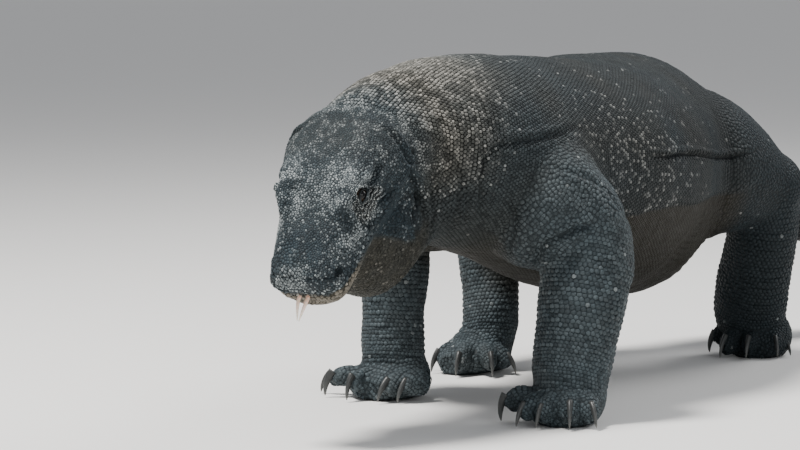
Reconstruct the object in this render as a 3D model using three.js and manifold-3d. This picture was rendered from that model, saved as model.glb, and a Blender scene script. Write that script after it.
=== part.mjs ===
// A life-size Komodo dragon in mid-stride, with its head lowered and its tongue out.
// Millimetres, +X towards the nose, +Y the animal's left, +Z up, soles and tail on z = 0.
// The body is one long tube of rings, parted by thin cuts. Each leg is a chain of tubes, cut
// back to the piece that it grows from, and the head is two half tubes that meet at the mouth.
import * as THREE from "three";
import { mergeVertices } from "three/addons/utils/BufferGeometryUtils.js";
import Module from "manifold-3d";

const wasm = await Module();
wasm.setup();

// ---- Driving dimensions ----
const GAP = 0.3; // between touching pieces
const HEAD_ROOT = [566, -41, 363]; // between the jaw joints, on the plane of the mouth
const HEAD_YAW = -3; // degrees to the left
const HEAD_PITCH = -51; // degrees, nose down
const EYE_AT = [100, 51, 41]; // forward, sideways and up from the head's root
const EYE_RADIUS = 10.5;
const CLAW_LENGTH = 36;
const CLAW_RADIUS = 6.4;
const CLAW_HEIGHT = 31; // of its root over the floor
const CLAW_START = 0.5; // radians below the level where it leaves the toe
const CLAW_BEND = 0.8; // radians, from root to tip

// A ring is [x, y, z, half-width, height above, depth below], from the nape to the tail's tip.
const BODY = [
  [600, -42, 350, 58, 44, 64],
  [560, -38, 360, 76, 68, 92],
  [505, -28, 364, 92, 92, 112],
  [440, -14, 360, 104, 112, 118],
  [375, -2, 352, 116, 124, 124],
  [310, 8, 340, 130, 136, 126],
  [230, 16, 328, 142, 146, 134],
  [140, 23, 320, 154, 151, 150],
  [40, 27, 312, 168, 152, 167],
  [-70, 26, 308, 177, 159, 182],
  [-180, 20, 310, 174, 156, 197],
  [-260, 22, 310, 163, 154, 199],
  [-340, 8, 304, 144, 134, 180],
  [-420, -6, 290, 108, 108, 122],
  [-490, -8, 276, 84, 88, 88],
  [-570, 4, 260, 66, 74, 72],
  [-680, 58, 234, 55, 64, 61],
  [-790, 132, 205, 47, 55, 52],
  [-900, 214, 160, 40, 48, 46],
  [-1010, 288, 118, 33, 41, 40],
  [-1120, 344, 80, 27, 35, 35],
  [-1240, 380, 50, 22, 29, 32],
  [-1360, 392, 31, 17, 23, 32],
  [-1480, 380, 21, 13, 18, 23],
  [-1590, 346, 14, 9, 12, 16],
  [-1680, 302, 9, 4, 7, 9],
];
const BODY_RINGS = 50;
const CUTS = { neck: 5, trunk: 24, tail_base: 32, tail_middle: 40, tail_end: BODY_RINGS - 1 };
// The throat's pouch hangs from the jaw to the chest.
const POUCH = [
  [664, -50, 235, 28, 22, 18],
  [632, -50, 246, 50, 50, 48],
  [586, -46, 256, 66, 72, 78],
  [542, -40, 264, 70, 78, 92],
  [497, -30, 274, 62, 74, 78],
  [457, -20, 284, 46, 56, 60],
  [425, -10, 292, 24, 30, 34],
];
// Head rings are [forward, half-width, height above the mouth].
const HEAD = [
  [-44, 50, 36],
  [-24, 70, 56],
  [6, 82, 67],
  [40, 82, 73],
  [72, 75, 73],
  [96, 68, 69],
  [120, 62, 62],
  [146, 59, 54],
  [172, 57, 48],
  [196, 53, 43],
  [213, 47, 37],
  [222, 31, 27],
];
// Jaw rings are [forward, half-width, depth below the mouth].
const JAW = [
  [-34, 54, 46],
  [0, 74, 58],
  [40, 76, 52],
  [84, 69, 42],
  [124, 60, 42],
  [164, 55, 44],
  [190, 51, 42],
  [209, 44, 38],
  [220, 29, 28],
];
// The brow stands over each eye: [forward, sideways, up, half-width, half-height].
const BROW = [
  [52, 46, 52, 6, 5],
  [74, 44, 60, 10, 8],
  [96, 42, 61, 10, 8],
  [114, 40, 56, 9, 7],
  [132, 37, 47, 5, 4],
];
// The forked tongue leaves the middle of the lips: [forward, sideways, up, half-width, half-height].
const TONGUE_STEM = [
  [172, 0, 0, 5.5, 2.2],
  [196, 0, 0, 5.5, 2.2],
  [215, 0, -1.5, 5, 2],
];
const TONGUE_TINE = [
  [210, 3.4, -1, 2.4, 1.8],
  [225, 6.2, -4.5, 2.6, 1.9],
  [237, 4.4, -12, 1.9, 1.5],
  [248, 1.4, -22, 0.6, 0.6],
];
const TONGUE_TURN = -18; // degrees, to the animal's right
// Toes are [bearing in degrees, start as a share of the foot's half-width, reach, size, lift of
// the knuckle], from one side of the foot to the other.
const TOES = {
  forefoot_left: [
    [36, 0.3, 54, 1, 1],
    [15, 0.12, 60, 1.06, 2],
    [-12, -0.02, 66, 0.9, 2],
    [-27, -0.2, 66, 0.92, 3],
    [-64, -0.42, 55, 1, 10],
  ],
  forefoot_right: [
    [-78, -0.5, 62, 0.9, 3],
    [-48, -0.35, 58, 1, 7],
    [-8, -0.1, 62, 1, 7],
    [-12, 0.85, 52, 1, 1],
    [-10, 1.15, 36, 0.95, 2],
  ],
  hindfoot_left: [
    [44, 0.4, 28, 0.9, 2],
    [18, 0.25, 54, 0.95, 2],
    [-8, 0, 72, 1, 3],
    [-26, -0.25, 76, 1, 3],
    [-80, -0.4, 44, 0.95, 8],
  ],
  hindfoot_right: [
    [-56, -0.3, 33, 0.9, 3],
    [-26, -0.2, 47, 0.95, 5],
    [14, 0.1, 70, 1, 4],
    [46, 0.3, 66, 1, 5],
    [84, 0.4, 46, 0.9, 2],
  ],
};
// Each leg: its joints, its half-thickness along both bones, and its foot.
const LEGS = {
  foreleg_left: {
    joints: [[308, 84, 296], [276, 174, 242], [338, 163, 60]],
    upper: [84, 90, 74, 62],
    lower: [56, 61, 56, 52],
    foot: { at: [350, 164], heading: 4, length: 60, width: 50, toes: TOES.forefoot_left },
  },
  foreleg_right: {
    joints: [[270, -74, 296], [156, -162, 250], [180, -156, 62]],
    upper: [84, 86, 66, 56],
    lower: [50, 54, 47, 47],
    foot: { at: [192, -154], heading: -12, length: 60, width: 54, toes: TOES.forefoot_right },
  },
  hindleg_left: {
    joints: [[-316, 78, 308], [-424, 200, 260], [-496, 146, 66]],
    upper: [110, 112, 84, 58],
    lower: [50, 53, 54, 54],
    foot: { at: [-514, 158], heading: 12, length: 70, width: 48, toes: TOES.hindfoot_left },
  },
  hindleg_right: {
    joints: [[-300, -64, 302], [-212, -166, 250], [-162, -144, 66]],
    upper: [104, 98, 76, 58],
    lower: [52, 54, 45, 42],
    foot: { at: [-138, -158], heading: -12, length: 70, width: 44, toes: TOES.hindfoot_right },
  },
};

// ---- Materials ----
const skin = (color) => new THREE.MeshStandardMaterial({ color, roughness: 0.72, metalness: 0 });
const bodySkin = skin(0x4a4640);
const headSkin = skin(0x3f464a);
const pouchSkin = skin(0x4b4535);
const legSkin = skin(0x434a4b);
const clawHorn = new THREE.MeshStandardMaterial({ color: 0x6d7068, roughness: 0.45 });
const eyeGloss = new THREE.MeshStandardMaterial({ color: 0x1a1410, roughness: 0.08 });
const tongueFlesh = new THREE.MeshStandardMaterial({ color: 0xd9bfae, roughness: 0.35 });

// ---- Tubes ----
const vec = (p) => new THREE.Vector3(p[0], p[1], p[2]);
const mix = (a, b, t) => a.map((v, i) => v + (b[i] - v) * t);

// A smooth curve through rows of numbers, spaced by the distance between their first three.
function resample(rows, count) {
  const knots = [0];
  rows.slice(1).forEach((row, k) => knots.push(knots[k] + vec(row).distanceTo(vec(rows[k]))));
  const slope = (k, i) => {
    const a = Math.max(k - 1, 0);
    const b = Math.min(k + 1, rows.length - 1);
    return (rows[b][i] - rows[a][i]) / (knots[b] - knots[a]);
  };
  return Array.from({ length: count }, (_, n) => {
    const s = (knots[knots.length - 1] * n) / (count - 1);
    let k = 0;
    while (k < rows.length - 2 && s > knots[k + 1]) k++;
    const h = knots[k + 1] - knots[k];
    const t = (s - knots[k]) / h;
    return rows[k].map((v, i) => {
      const between = v + (rows[k + 1][i] - v) * t * t * (3 - 2 * t);
      return between + h * t * (1 - t) * (slope(k, i) * (1 - t) - slope(k + 1, i) * t);
    });
  });
}

// Rings of points, which follow each other the way they face, as one closed surface.
function closedSurface(rings) {
  const sides = rings[0].length;
  const points = rings.flat();
  const faces = [];
  const corner = (ring, j) => ring * sides + (j % sides);
  for (let ring = 0; ring < rings.length - 1; ring++) {
    for (let j = 0; j < sides; j++) {
      faces.push(corner(ring, j), corner(ring, j + 1), corner(ring + 1, j + 1));
      faces.push(corner(ring, j), corner(ring + 1, j + 1), corner(ring + 1, j));
    }
  }
  for (const ring of [0, rings.length - 1]) {
    const centre = new THREE.Vector3();
    rings[ring].forEach((p) => centre.addScaledVector(p, 1 / sides));
    points.push(centre);
    for (let j = 0; j < sides; j++) {
      const [a, b] = ring === 0 ? [j + 1, j] : [j, j + 1];
      faces.push(points.length - 1, corner(ring, a), corner(ring, b));
    }
  }
  const geometry = new THREE.BufferGeometry();
  const position = points.flatMap((p) => p.toArray());
  geometry.setAttribute("position", new THREE.Float32BufferAttribute(position, 3));
  geometry.setIndex(faces);
  return geometry;
}

// The frame of each row of a line: its centre, its way along, its side and its up.
function frames(rows, across) {
  return rows.map((row, i) => {
    const ahead = vec(rows[Math.min(i + 1, rows.length - 1)]);
    const along = ahead.sub(vec(rows[Math.max(i - 1, 0)])).normalize();
    const side = vec(across).addScaledVector(along, -along.dot(vec(across))).normalize();
    return { row, centre: vec(row), along, side, up: along.clone().cross(side) };
  });
}

// One ring: an ellipse with a height above and another below, made larger by grow and moved
// along the line by shift.
function ring({ row, centre, along, side, up }, sides, grow, shift) {
  const [width, above, below = above] = row.slice(3);
  const middle = centre.clone().addScaledVector(along, shift);
  return Array.from({ length: sides }, (_, j) => {
    const angle = (2 * Math.PI * j) / sides;
    const height = Math.sin(angle) > 0 ? above : below;
    return middle
      .clone()
      .addScaledVector(side, Math.cos(angle) * (width + grow))
      .addScaledVector(up, Math.sin(angle) * (height + grow));
  });
}

// A closed tube through rows. grow thickens it and moves both ends out by as much.
function tube(rows, { count, sides, across = [0, 1, 0], grow = 0 }) {
  const line = frames(resample(rows, count), across);
  const shift = (i) => (i === 0 ? -grow : i === count - 1 ? grow : 0);
  return closedSurface(line.map((frame, i) => ring(frame, sides, grow, shift(i))));
}

// ---- Solids ----
function solid(geometry) {
  const plain = geometry.toNonIndexed();
  plain.deleteAttribute("normal");
  plain.deleteAttribute("uv");
  const merged = mergeVertices(plain, 1e-4);
  const vertProperties = merged.attributes.position.array;
  const triVerts = new Uint32Array(merged.index.array);
  return new wasm.Manifold(new wasm.Mesh({ numProp: 3, vertProperties, triVerts }));
}

function geometryOf(manifold) {
  const mesh = manifold.getMesh();
  const geometry = new THREE.BufferGeometry();
  geometry.setAttribute("position", new THREE.BufferAttribute(mesh.vertProperties, 3));
  geometry.setIndex(new THREE.BufferAttribute(mesh.triVerts, 1));
  return geometry;
}

const cutBy = (piece, cutters) => cutters.reduce((left, cutter) => left.subtract(cutter), piece);
const joined = (pieces) => pieces.reduce((sum, piece) => sum.add(piece));
const underFloor = solid(new THREE.BoxGeometry(4000, 2000, 200).translate(-500, 0, -100));

// ---- Body ----
const bodyFrames = frames(resample([...BODY].reverse(), BODY_RINGS), [0, 1, 0]).reverse();

// The length of the body between two of its rings. The ring nearer the tail keeps the gap.
function bodyLength(first, last, sides, grow = 0) {
  const line = bodyFrames.slice(first, last + 1).reverse();
  const shift = (i) => (i === 0 ? GAP - grow : i === line.length - 1 ? grow : 0);
  return solid(closedSurface(line.map((frame, i) => ring(frame, sides, grow, shift(i)))));
}

const pouchSolid = (grow = 0) => solid(tube([...POUCH].reverse(), { count: 9, sides: 14, grow }));

// ---- Head ----
const turn = (degrees) => THREE.MathUtils.degToRad(degrees);
const headFrame = new THREE.Matrix4()
  .makeTranslation(...HEAD_ROOT)
  .multiply(new THREE.Matrix4().makeRotationZ(turn(HEAD_YAW)))
  .multiply(new THREE.Matrix4().makeRotationY(turn(-HEAD_PITCH)));

// Rings with one flat side on the plane of the mouth. side is 1 above it and -1 below.
function halfHead(rows, side, { count, sides, grow = 0 }) {
  const rings = resample(rows.map(([forward, ...size]) => [forward, 0, 0, ...size]), count);
  const points = rings.map(([forward, , , width, height], i) => {
    const shift = i === 0 ? -grow : i === count - 1 ? grow : 0;
    return Array.from({ length: sides }, (_, j) => {
      const angle = (2 * Math.PI * j) / sides;
      const [across, rise] = [Math.cos(angle), Math.sin(angle)];
      const sideways = Math.sign(across) * Math.abs(across) ** 0.8 * (width + grow);
      const domed = side * (GAP / 2 + Math.abs(rise) ** 0.85 * (height + grow));
      const flat = side * (GAP / 2 - grow);
      return new THREE.Vector3(forward + shift, sideways, rise * side > 0 ? domed : flat);
    });
  });
  return solid(closedSurface(points).applyMatrix4(headFrame));
}

// A tube in the head's frame, from rows whose sections are as high above as below.
function headTube(rows, side, sizes) {
  const placed = rows.map(([forward, sideways, ...rest]) => [forward, side * sideways, ...rest]);
  return solid(tube(placed, sizes).applyMatrix4(headFrame));
}

const upperHead = (grow = 0) =>
  joined([
    halfHead(HEAD, 1, { count: 14, sides: 14, grow }),
    headTube(BROW, 1, { count: 6, sides: 6, grow }),
    headTube(BROW, -1, { count: 6, sides: 6, grow }),
  ]);
const lowerJaw = (grow = 0) => halfHead(JAW, -1, { count: 10, sides: 12, grow });

function eyeball(side, grow = 0) {
  const [forward, sideways, up] = EYE_AT;
  const ball = new THREE.SphereGeometry(EYE_RADIUS + grow, 9, 6);
  return solid(ball.translate(forward, side * sideways, up).applyMatrix4(headFrame));
}

// The tongue's tines turn a little to one side, about the tip of its stem.
function tongueTine(side, grow) {
  const [cos, sin] = [Math.cos(turn(TONGUE_TURN)), Math.sin(turn(TONGUE_TURN))];
  const rows = TONGUE_TINE.map(([forward, sideways, ...rest]) => {
    const [ahead, across] = [forward - TONGUE_TINE[0][0], side * sideways];
    return [TONGUE_TINE[0][0] + ahead * cos - across * sin, ahead * sin + across * cos, ...rest];
  });
  return headTube(rows, 1, { count: 5, sides: 4, grow });
}

const tongueSolid = (grow = 0) =>
  joined([
    headTube(TONGUE_STEM, 1, { count: 3, sides: 6, grow }),
    tongueTine(1, grow),
    tongueTine(-1, grow),
  ]);

// ---- Legs ----
// A bone's rows: [share of the way from a to b, half-thickness along the body, and across].
const boneRows = (a, b, rows) => rows.map(([share, ...size]) => [...mix(a, b, share), ...size]);

function upperLeg({ joints, upper }, grow = 0) {
  const [root, middle, end, bend] = upper;
  const rows = boneRows(joints[0], joints[1], [
    [-0.2, root * 0.5, root * 0.5],
    [0, root * 0.9, root * 0.9],
    [0.35, middle, middle * 0.96],
    [0.72, end, end],
    [0.98, bend, bend],
    [1.16, bend * 0.72, bend * 0.74],
    [1.27, bend * 0.3, bend * 0.3],
  ]);
  return solid(tube(rows, { count: 8, sides: 12, grow, across: [1, 0, 0] }));
}

function lowerLeg({ joints, lower }, grow = 0) {
  const [bend, calf, shin, ankle] = lower;
  const rows = boneRows(joints[1], joints[2], [
    [-0.18, bend * 0.45, bend * 0.45],
    [-0.08, bend * 0.82, bend * 0.82],
    [0.12, bend, bend],
    [0.4, calf, calf * 0.96],
    [0.72, shin, shin * 0.95],
    [1, ankle, ankle],
    [1.14, ankle * 0.8, ankle * 0.8],
  ]);
  return solid(tube(rows, { count: 7, sides: 11, grow, across: [0, 1, 0] }));
}

const footFrame = ({ at, heading }) =>
  new THREE.Matrix4()
    .makeTranslation(at[0], at[1], 0)
    .multiply(new THREE.Matrix4().makeRotationZ(turn(heading)));

// The palm: a low tube from the heel to the roots of the toes.
function palmSolid(foot, grow = 0) {
  const { length, width } = foot;
  const rows = [
    [-length * 0.85, 0, 24, width * 0.5, 22, 30],
    [-length * 0.6, 0, 28, width * 0.85, 36, 40],
    [-length * 0.15, 0, 30, width, 42, 42],
    [length * 0.35, 0, 24, width * 1.02, 30, 36],
    [length * 0.7, 0, 20, width * 0.86, 22, 30],
    [length * 0.95, 0, 17, width * 0.5, 14, 22],
  ];
  return solid(tube(rows, { count: 6, sides: 8, grow }).applyMatrix4(footFrame(foot)));
}

// A toe's own frame: where it leaves the palm, and its way out and across.
function toeFrame({ length, width }, bearing, start) {
  const [cos, sin] = [Math.cos(turn(bearing)), Math.sin(turn(bearing))];
  const root = [length * 0.1, start * width];
  const at = (reach, height) => [root[0] + reach * cos, root[1] + reach * sin, height];
  return { at, across: [-sin, cos, 0] };
}

// A toe arches over its knuckle and comes down to its pad.
function toeSolid(foot, [bearing, start, reach, size, lift]) {
  const { at, across } = toeFrame(foot, bearing, start);
  const rows = [
    [...at(0, 26), 18 * size, 18 * size, 20],
    [...at(reach * 0.42, 29 + lift * 0.3), 16.5 * size, 17 * size, 24],
    [...at(reach * 0.74, 26 + lift), 14.5 * size, 15.5 * size, 23],
    [...at(reach * 0.96, 17 + lift), 12 * size, 12.5 * size, 18],
    [...at(reach * 1.07, 11 + lift), 7 * size, 6.5 * size, 11],
  ];
  return solid(tube(rows, { count: 5, sides: 6, across }).applyMatrix4(footFrame(foot)));
}

// A claw leaves its toe's top and plunges along an arc, to just above the floor.
function clawSolid(foot, [bearing, start, reach, size, lift], grow = 0) {
  const { at, across } = toeFrame(foot, bearing, start);
  const radius = (CLAW_LENGTH * size) / CLAW_BEND;
  const first = CLAW_START + lift * 0.05;
  const rows = [0, 0.3, 0.65, 1].map((share) => {
    const bend = first + share * CLAW_BEND;
    const drop = radius * (Math.cos(first) - Math.cos(bend));
    const out = radius * (Math.sin(bend) - Math.sin(first));
    const thick = CLAW_RADIUS * size * (1 - share) ** 0.7 + 0.6;
    const height = Math.max(CLAW_HEIGHT * size + lift * 0.7 - drop, 2.5);
    return [...at(reach * 0.93 + lift * 0.8 + out, height), thick * 0.75, thick];
  });
  return solid(tube(rows, { count: 4, sides: 5, grow, across }).applyMatrix4(footFrame(foot)));
}

function footSolid({ foot }) {
  const whole = joined([palmSolid(foot), ...foot.toes.map((toe) => toeSolid(foot, toe))]);
  return cutBy(whole, [underFloor, ...foot.toes.map((toe) => clawSolid(foot, toe, GAP))]);
}

// ---- Assembly ----
const dragon = new THREE.Group();

function add(name, manifold, material) {
  const mesh = new THREE.Mesh(geometryOf(manifold), material);
  mesh.name = name;
  dragon.add(mesh);
}

function addHead() {
  const tongueCut = tongueSolid(GAP);
  add("head", cutBy(upperHead(), [tongueCut, eyeball(1, GAP), eyeball(-1, GAP)]), headSkin);
  add("lower_jaw", cutBy(lowerJaw(), [tongueCut]), headSkin);
  add("tongue", tongueSolid(), tongueFlesh);
  add("eye_left", eyeball(1), eyeGloss);
  add("eye_right", eyeball(-1), eyeGloss);
}

function addBody() {
  const headCuts = [upperHead(GAP), lowerJaw(GAP)];
  const neckGrown = bodyLength(0, CUTS.neck + 1, 16, GAP);
  add("neck", cutBy(bodyLength(0, CUTS.neck, 16), headCuts), bodySkin);
  add("throat", cutBy(pouchSolid(), [...headCuts, neckGrown]), pouchSkin);
  add("trunk", cutBy(bodyLength(CUTS.neck, CUTS.trunk, 16), [pouchSolid(GAP)]), bodySkin);
  add("tail_base", bodyLength(CUTS.trunk, CUTS.tail_base, 14), bodySkin);
  add("tail_middle", cutBy(bodyLength(CUTS.tail_base, CUTS.tail_middle, 12), [underFloor]), bodySkin);
  add("tail_end", cutBy(bodyLength(CUTS.tail_middle, CUTS.tail_end, 10), [underFloor]), bodySkin);
}

function addLeg(leg, [upperName, lowerName, footName]) {
  const bodyCut = [bodyLength(0, CUTS.tail_base, 16, GAP), pouchSolid(GAP)];
  add(upperName, cutBy(upperLeg(leg), bodyCut), legSkin);
  add(lowerName, cutBy(lowerLeg(leg), [...bodyCut, upperLeg(leg, GAP), underFloor]), legSkin);
  add(footName, cutBy(footSolid(leg), [lowerLeg(leg, GAP)]), legSkin);
  leg.foot.toes.forEach((toe, i) => add(`${footName}_claw_${i + 1}`, clawSolid(leg.foot, toe), clawHorn));
}

addHead();
addBody();
addLeg(LEGS.foreleg_left, ["upper_arm_left", "forearm_left", "forefoot_left"]);
addLeg(LEGS.foreleg_right, ["upper_arm_right", "forearm_right", "forefoot_right"]);
addLeg(LEGS.hindleg_left, ["thigh_left", "shank_left", "hindfoot_left"]);
addLeg(LEGS.hindleg_right, ["thigh_right", "shank_right", "hindfoot_right"]);

// The origin is the middle of the model's box, on the floor.
const box = new THREE.Box3().setFromObject(dragon);
dragon.position.set(-(box.min.x + box.max.x) / 2, -(box.min.y + box.max.y) / 2, 0);

export default dragon;
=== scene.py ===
"""A life-size Komodo dragon in mid-stride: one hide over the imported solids, and a coat of scales.

The hide is the soft union of the same tubes that the solids are made of, as a grid of distances,
taken out as one mesh and then worked into folds. A fold is a move along the surface's own
direction, worked out by one function of place, so that hide and scales move alike.
Each scale is a low dome with six sides. Rows of them ring the body, legs, toes and tail, and the
face and the joins are filled with beads that keep their distance from each other.
Lengths are in millimetres in the solids' own design frame until a mesh is written, in metres.
"""
import itertools
import math

import bpy
import numpy as np
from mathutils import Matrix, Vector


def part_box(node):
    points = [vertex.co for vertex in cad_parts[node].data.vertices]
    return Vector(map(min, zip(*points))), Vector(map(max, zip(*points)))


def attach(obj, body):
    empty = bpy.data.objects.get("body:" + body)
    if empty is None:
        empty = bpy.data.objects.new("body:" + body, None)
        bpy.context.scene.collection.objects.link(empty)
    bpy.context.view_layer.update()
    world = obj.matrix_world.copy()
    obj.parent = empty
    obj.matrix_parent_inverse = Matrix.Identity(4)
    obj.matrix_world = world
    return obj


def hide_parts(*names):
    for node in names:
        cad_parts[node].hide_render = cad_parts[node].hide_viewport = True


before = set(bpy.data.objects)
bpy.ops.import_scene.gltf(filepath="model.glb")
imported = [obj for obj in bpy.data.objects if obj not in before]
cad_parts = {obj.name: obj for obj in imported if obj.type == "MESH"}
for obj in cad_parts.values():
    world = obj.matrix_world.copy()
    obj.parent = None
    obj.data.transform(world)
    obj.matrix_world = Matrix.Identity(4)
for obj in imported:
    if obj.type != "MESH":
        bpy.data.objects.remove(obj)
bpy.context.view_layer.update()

import openvdb
from mathutils import Vector

rng = np.random.default_rng(20)

# ---- Driving dimensions, as in the solids ----
HEAD_ROOT = np.array([566.0, -41, 363])
HEAD_YAW = -3.0
HEAD_PITCH = -51.0
EYE_AT = np.array([100.0, 51, 41])
EYE_RADIUS = 10.5
CLAW_LENGTH = 36.0
CLAW_RADIUS = 6.4
CLAW_HEIGHT = 31.0
CLAW_START = 0.5
CLAW_BEND = 0.8
TONGUE_TURN = -18.0
COAT = 1.5  # depth of the scales over the hide

# [x, y, z, half-width, height above, depth below] from the nape to the tail's tip
BODY = [
    [600, -42, 350, 58, 44, 64],
    [560, -38, 360, 76, 68, 92],
    [505, -28, 364, 92, 92, 112],
    [440, -14, 360, 104, 112, 118],
    [375, -2, 352, 116, 124, 124],
    [310, 8, 340, 130, 136, 126],
    [230, 16, 328, 142, 146, 134],
    [140, 23, 320, 154, 151, 150],
    [40, 27, 312, 168, 152, 167],
    [-70, 26, 308, 177, 159, 182],
    [-180, 20, 310, 174, 156, 197],
    [-260, 22, 310, 163, 154, 199],
    [-340, 8, 304, 144, 134, 180],
    [-420, -6, 290, 108, 108, 122],
    [-490, -8, 276, 84, 88, 88],
    [-570, 4, 260, 66, 74, 72],
    [-680, 58, 234, 55, 64, 61],
    [-790, 132, 205, 47, 55, 52],
    [-900, 214, 160, 40, 48, 46],
    [-1010, 288, 118, 33, 41, 40],
    [-1120, 344, 80, 27, 35, 35],
    [-1240, 380, 50, 22, 29, 32],
    [-1360, 392, 31, 17, 23, 32],
    [-1480, 380, 21, 13, 18, 23],
    [-1590, 346, 14, 9, 12, 16],
    [-1680, 302, 9, 4, 7, 9],
]
POUCH = [
    [664, -50, 235, 28, 22, 18],
    [632, -50, 246, 50, 50, 48],
    [586, -46, 256, 66, 72, 78],
    [542, -40, 264, 70, 78, 92],
    [497, -30, 274, 62, 74, 78],
    [457, -20, 284, 46, 56, 60],
    [425, -10, 292, 24, 30, 34],
]
# [forward, half-width, height or depth from the mouth]
HEAD = [
    [-44, 50, 36],
    [-24, 70, 56],
    [6, 82, 67],
    [40, 82, 73],
    [72, 75, 73],
    [96, 68, 69],
    [120, 62, 62],
    [146, 59, 54],
    [172, 57, 48],
    [196, 53, 43],
    [213, 47, 37],
    [222, 31, 27],
]
JAW = [
    [-34, 54, 46],
    [0, 74, 58],
    [40, 76, 52],
    [84, 69, 42],
    [124, 60, 42],
    [164, 55, 44],
    [190, 51, 42],
    [209, 44, 38],
    [220, 29, 28],
]
BROW = [
    [52, 46, 52, 6, 5],
    [74, 44, 60, 10, 8],
    [96, 42, 61, 10, 8],
    [114, 40, 56, 9, 7],
    [132, 37, 47, 5, 4],
]
TONGUE_STEM = [
    [172, 0, 0, 5.5, 2.2],
    [196, 0, 0, 5.5, 2.2],
    [215, 0, -1.5, 5, 2],
]
TONGUE_TINE = [
    [210, 3.4, -1, 2.4, 1.8],
    [225, 6.2, -4.5, 2.6, 1.9],
    [237, 4.4, -12, 1.9, 1.5],
    [248, 1.4, -22, 0.6, 0.6],
]
# [bearing, start as a share of the foot's half-width, reach, size, lift of the knuckle]
TOES = {
    "forefoot_left": [[36, 0.3, 54, 1, 1], [15, 0.12, 60, 1.06, 2], [-12, -0.02, 66, 0.9, 2],
        [-27, -0.2, 66, 0.92, 3], [-64, -0.42, 55, 1, 10]],
    "forefoot_right": [[-78, -0.5, 62, 0.9, 3], [-48, -0.35, 58, 1, 7], [-8, -0.1, 62, 1, 7],
        [-12, 0.85, 52, 1, 1], [-10, 1.15, 36, 0.95, 2]],
    "hindfoot_left": [[44, 0.4, 28, 0.9, 2], [18, 0.25, 54, 0.95, 2], [-8, 0, 72, 1, 3],
        [-26, -0.25, 76, 1, 3], [-80, -0.4, 44, 0.95, 8]],
    "hindfoot_right": [[-56, -0.3, 33, 0.9, 3], [-26, -0.2, 47, 0.95, 5],
        [14, 0.1, 70, 1, 4], [46, 0.3, 66, 1, 5], [84, 0.4, 46, 0.9, 2]],
}
LEGS = {
    "foreleg_left": dict(
        joints=[[308, 84, 296], [276, 174, 242], [338, 163, 60]],
        upper=[84, 90, 74, 62], lower=[56, 61, 56, 52],
        at=[350, 164], heading=4, length=60, width=50, toes=TOES["forefoot_left"],
        nodes=["upper_arm_left", "forearm_left", "forefoot_left"]),
    "foreleg_right": dict(
        joints=[[270, -74, 296], [156, -162, 250], [180, -156, 62]],
        upper=[84, 86, 66, 56], lower=[50, 54, 47, 47],
        at=[192, -154], heading=-12, length=60, width=54, toes=TOES["forefoot_right"],
        nodes=["upper_arm_right", "forearm_right", "forefoot_right"]),
    "hindleg_left": dict(
        joints=[[-316, 78, 308], [-424, 200, 260], [-496, 146, 66]],
        upper=[110, 112, 84, 58], lower=[50, 53, 54, 54],
        at=[-514, 158], heading=12, length=70, width=48, toes=TOES["hindfoot_left"],
        nodes=["thigh_left", "shank_left", "hindfoot_left"]),
    "hindleg_right": dict(
        joints=[[-300, -64, 302], [-212, -166, 250], [-162, -144, 66]],
        upper=[104, 98, 76, 58], lower=[52, 54, 45, 42],
        at=[-138, -158], heading=-12, length=70, width=44, toes=TOES["hindfoot_right"],
        nodes=["thigh_right", "shank_right", "hindfoot_right"]),
}

# ---- Small helpers ----
size_of = lambda v: np.linalg.norm(v, axis=-1)
unit = lambda v: v / np.maximum(size_of(v)[..., None], 1e-9)
dot = lambda a, b: (a * b).sum(-1)
flattened = lambda way, n: unit(way - n * dot(way, n)[:, None])


def ease(low, high, value):
    """0 below low, 1 above high, and 3tt - 2ttt between."""
    t = np.clip((value - low) / (high - low), 0, 1)
    return t * t * (3 - 2 * t)


def within(start, full, fall, gone, value):
    """0 before start and after gone, 1 from full to fall, and eased between."""
    return ease(start, full, value) * (1 - ease(fall, gone, value))


def bell(value, middle, width):
    """exp(-tt), where t is the share of the width that the value is away from the middle."""
    return np.exp(-(((value - middle) / width) ** 2))


def turned(degrees):
    """The matrix of a turn to the left, seen from above."""
    cos, sin = math.cos(math.radians(degrees)), math.sin(math.radians(degrees))
    return np.array([[cos, -sin, 0], [sin, cos, 0], [0, 0, 1]])


def curve(rows, s):
    """Rows of numbers at the lengths s: the cubic through them with slopes from their neighbours,
    v + (w - v)tt(3 - 2t) + ht(1 - t)(slope(1 - t) - next slope t)."""
    rows = np.asarray(rows, float)
    knots = lengths(rows)
    last = len(rows) - 1
    before = np.maximum(np.arange(last + 1) - 1, 0)
    after = np.minimum(np.arange(last + 1) + 1, last)
    slope = (rows[after] - rows[before]) / (knots[after] - knots[before])[:, None]
    k = np.searchsorted(knots[1:-1], s, side="left")
    h = (knots[k + 1] - knots[k])[:, None]
    t = (s - knots[k])[:, None] / h
    between = rows[k] + (rows[k + 1] - rows[k]) * t * t * (3 - 2 * t)
    return between + h * t * (1 - t) * (slope[k] * (1 - t) - slope[k + 1] * t)


def lengths(rows):
    """The distance along rows to each of them, by their first three numbers."""
    steps = size_of(np.diff(np.asarray(rows, float)[:, :3], axis=0))
    return np.concatenate([[0], np.cumsum(steps)])


def stations(rows, pitch):
    """Lengths along rows, a pitch apart. pitch is a number, or a function of the length."""
    end = lengths(rows)[-1]
    if not callable(pitch):
        return np.linspace(0, end, max(3, round(end / pitch) + 1))
    found = [0.0]
    while found[-1] < end:
        found.append(found[-1] + float(pitch(found[-1])))
    return np.array(found[:-1] + [end])


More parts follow.
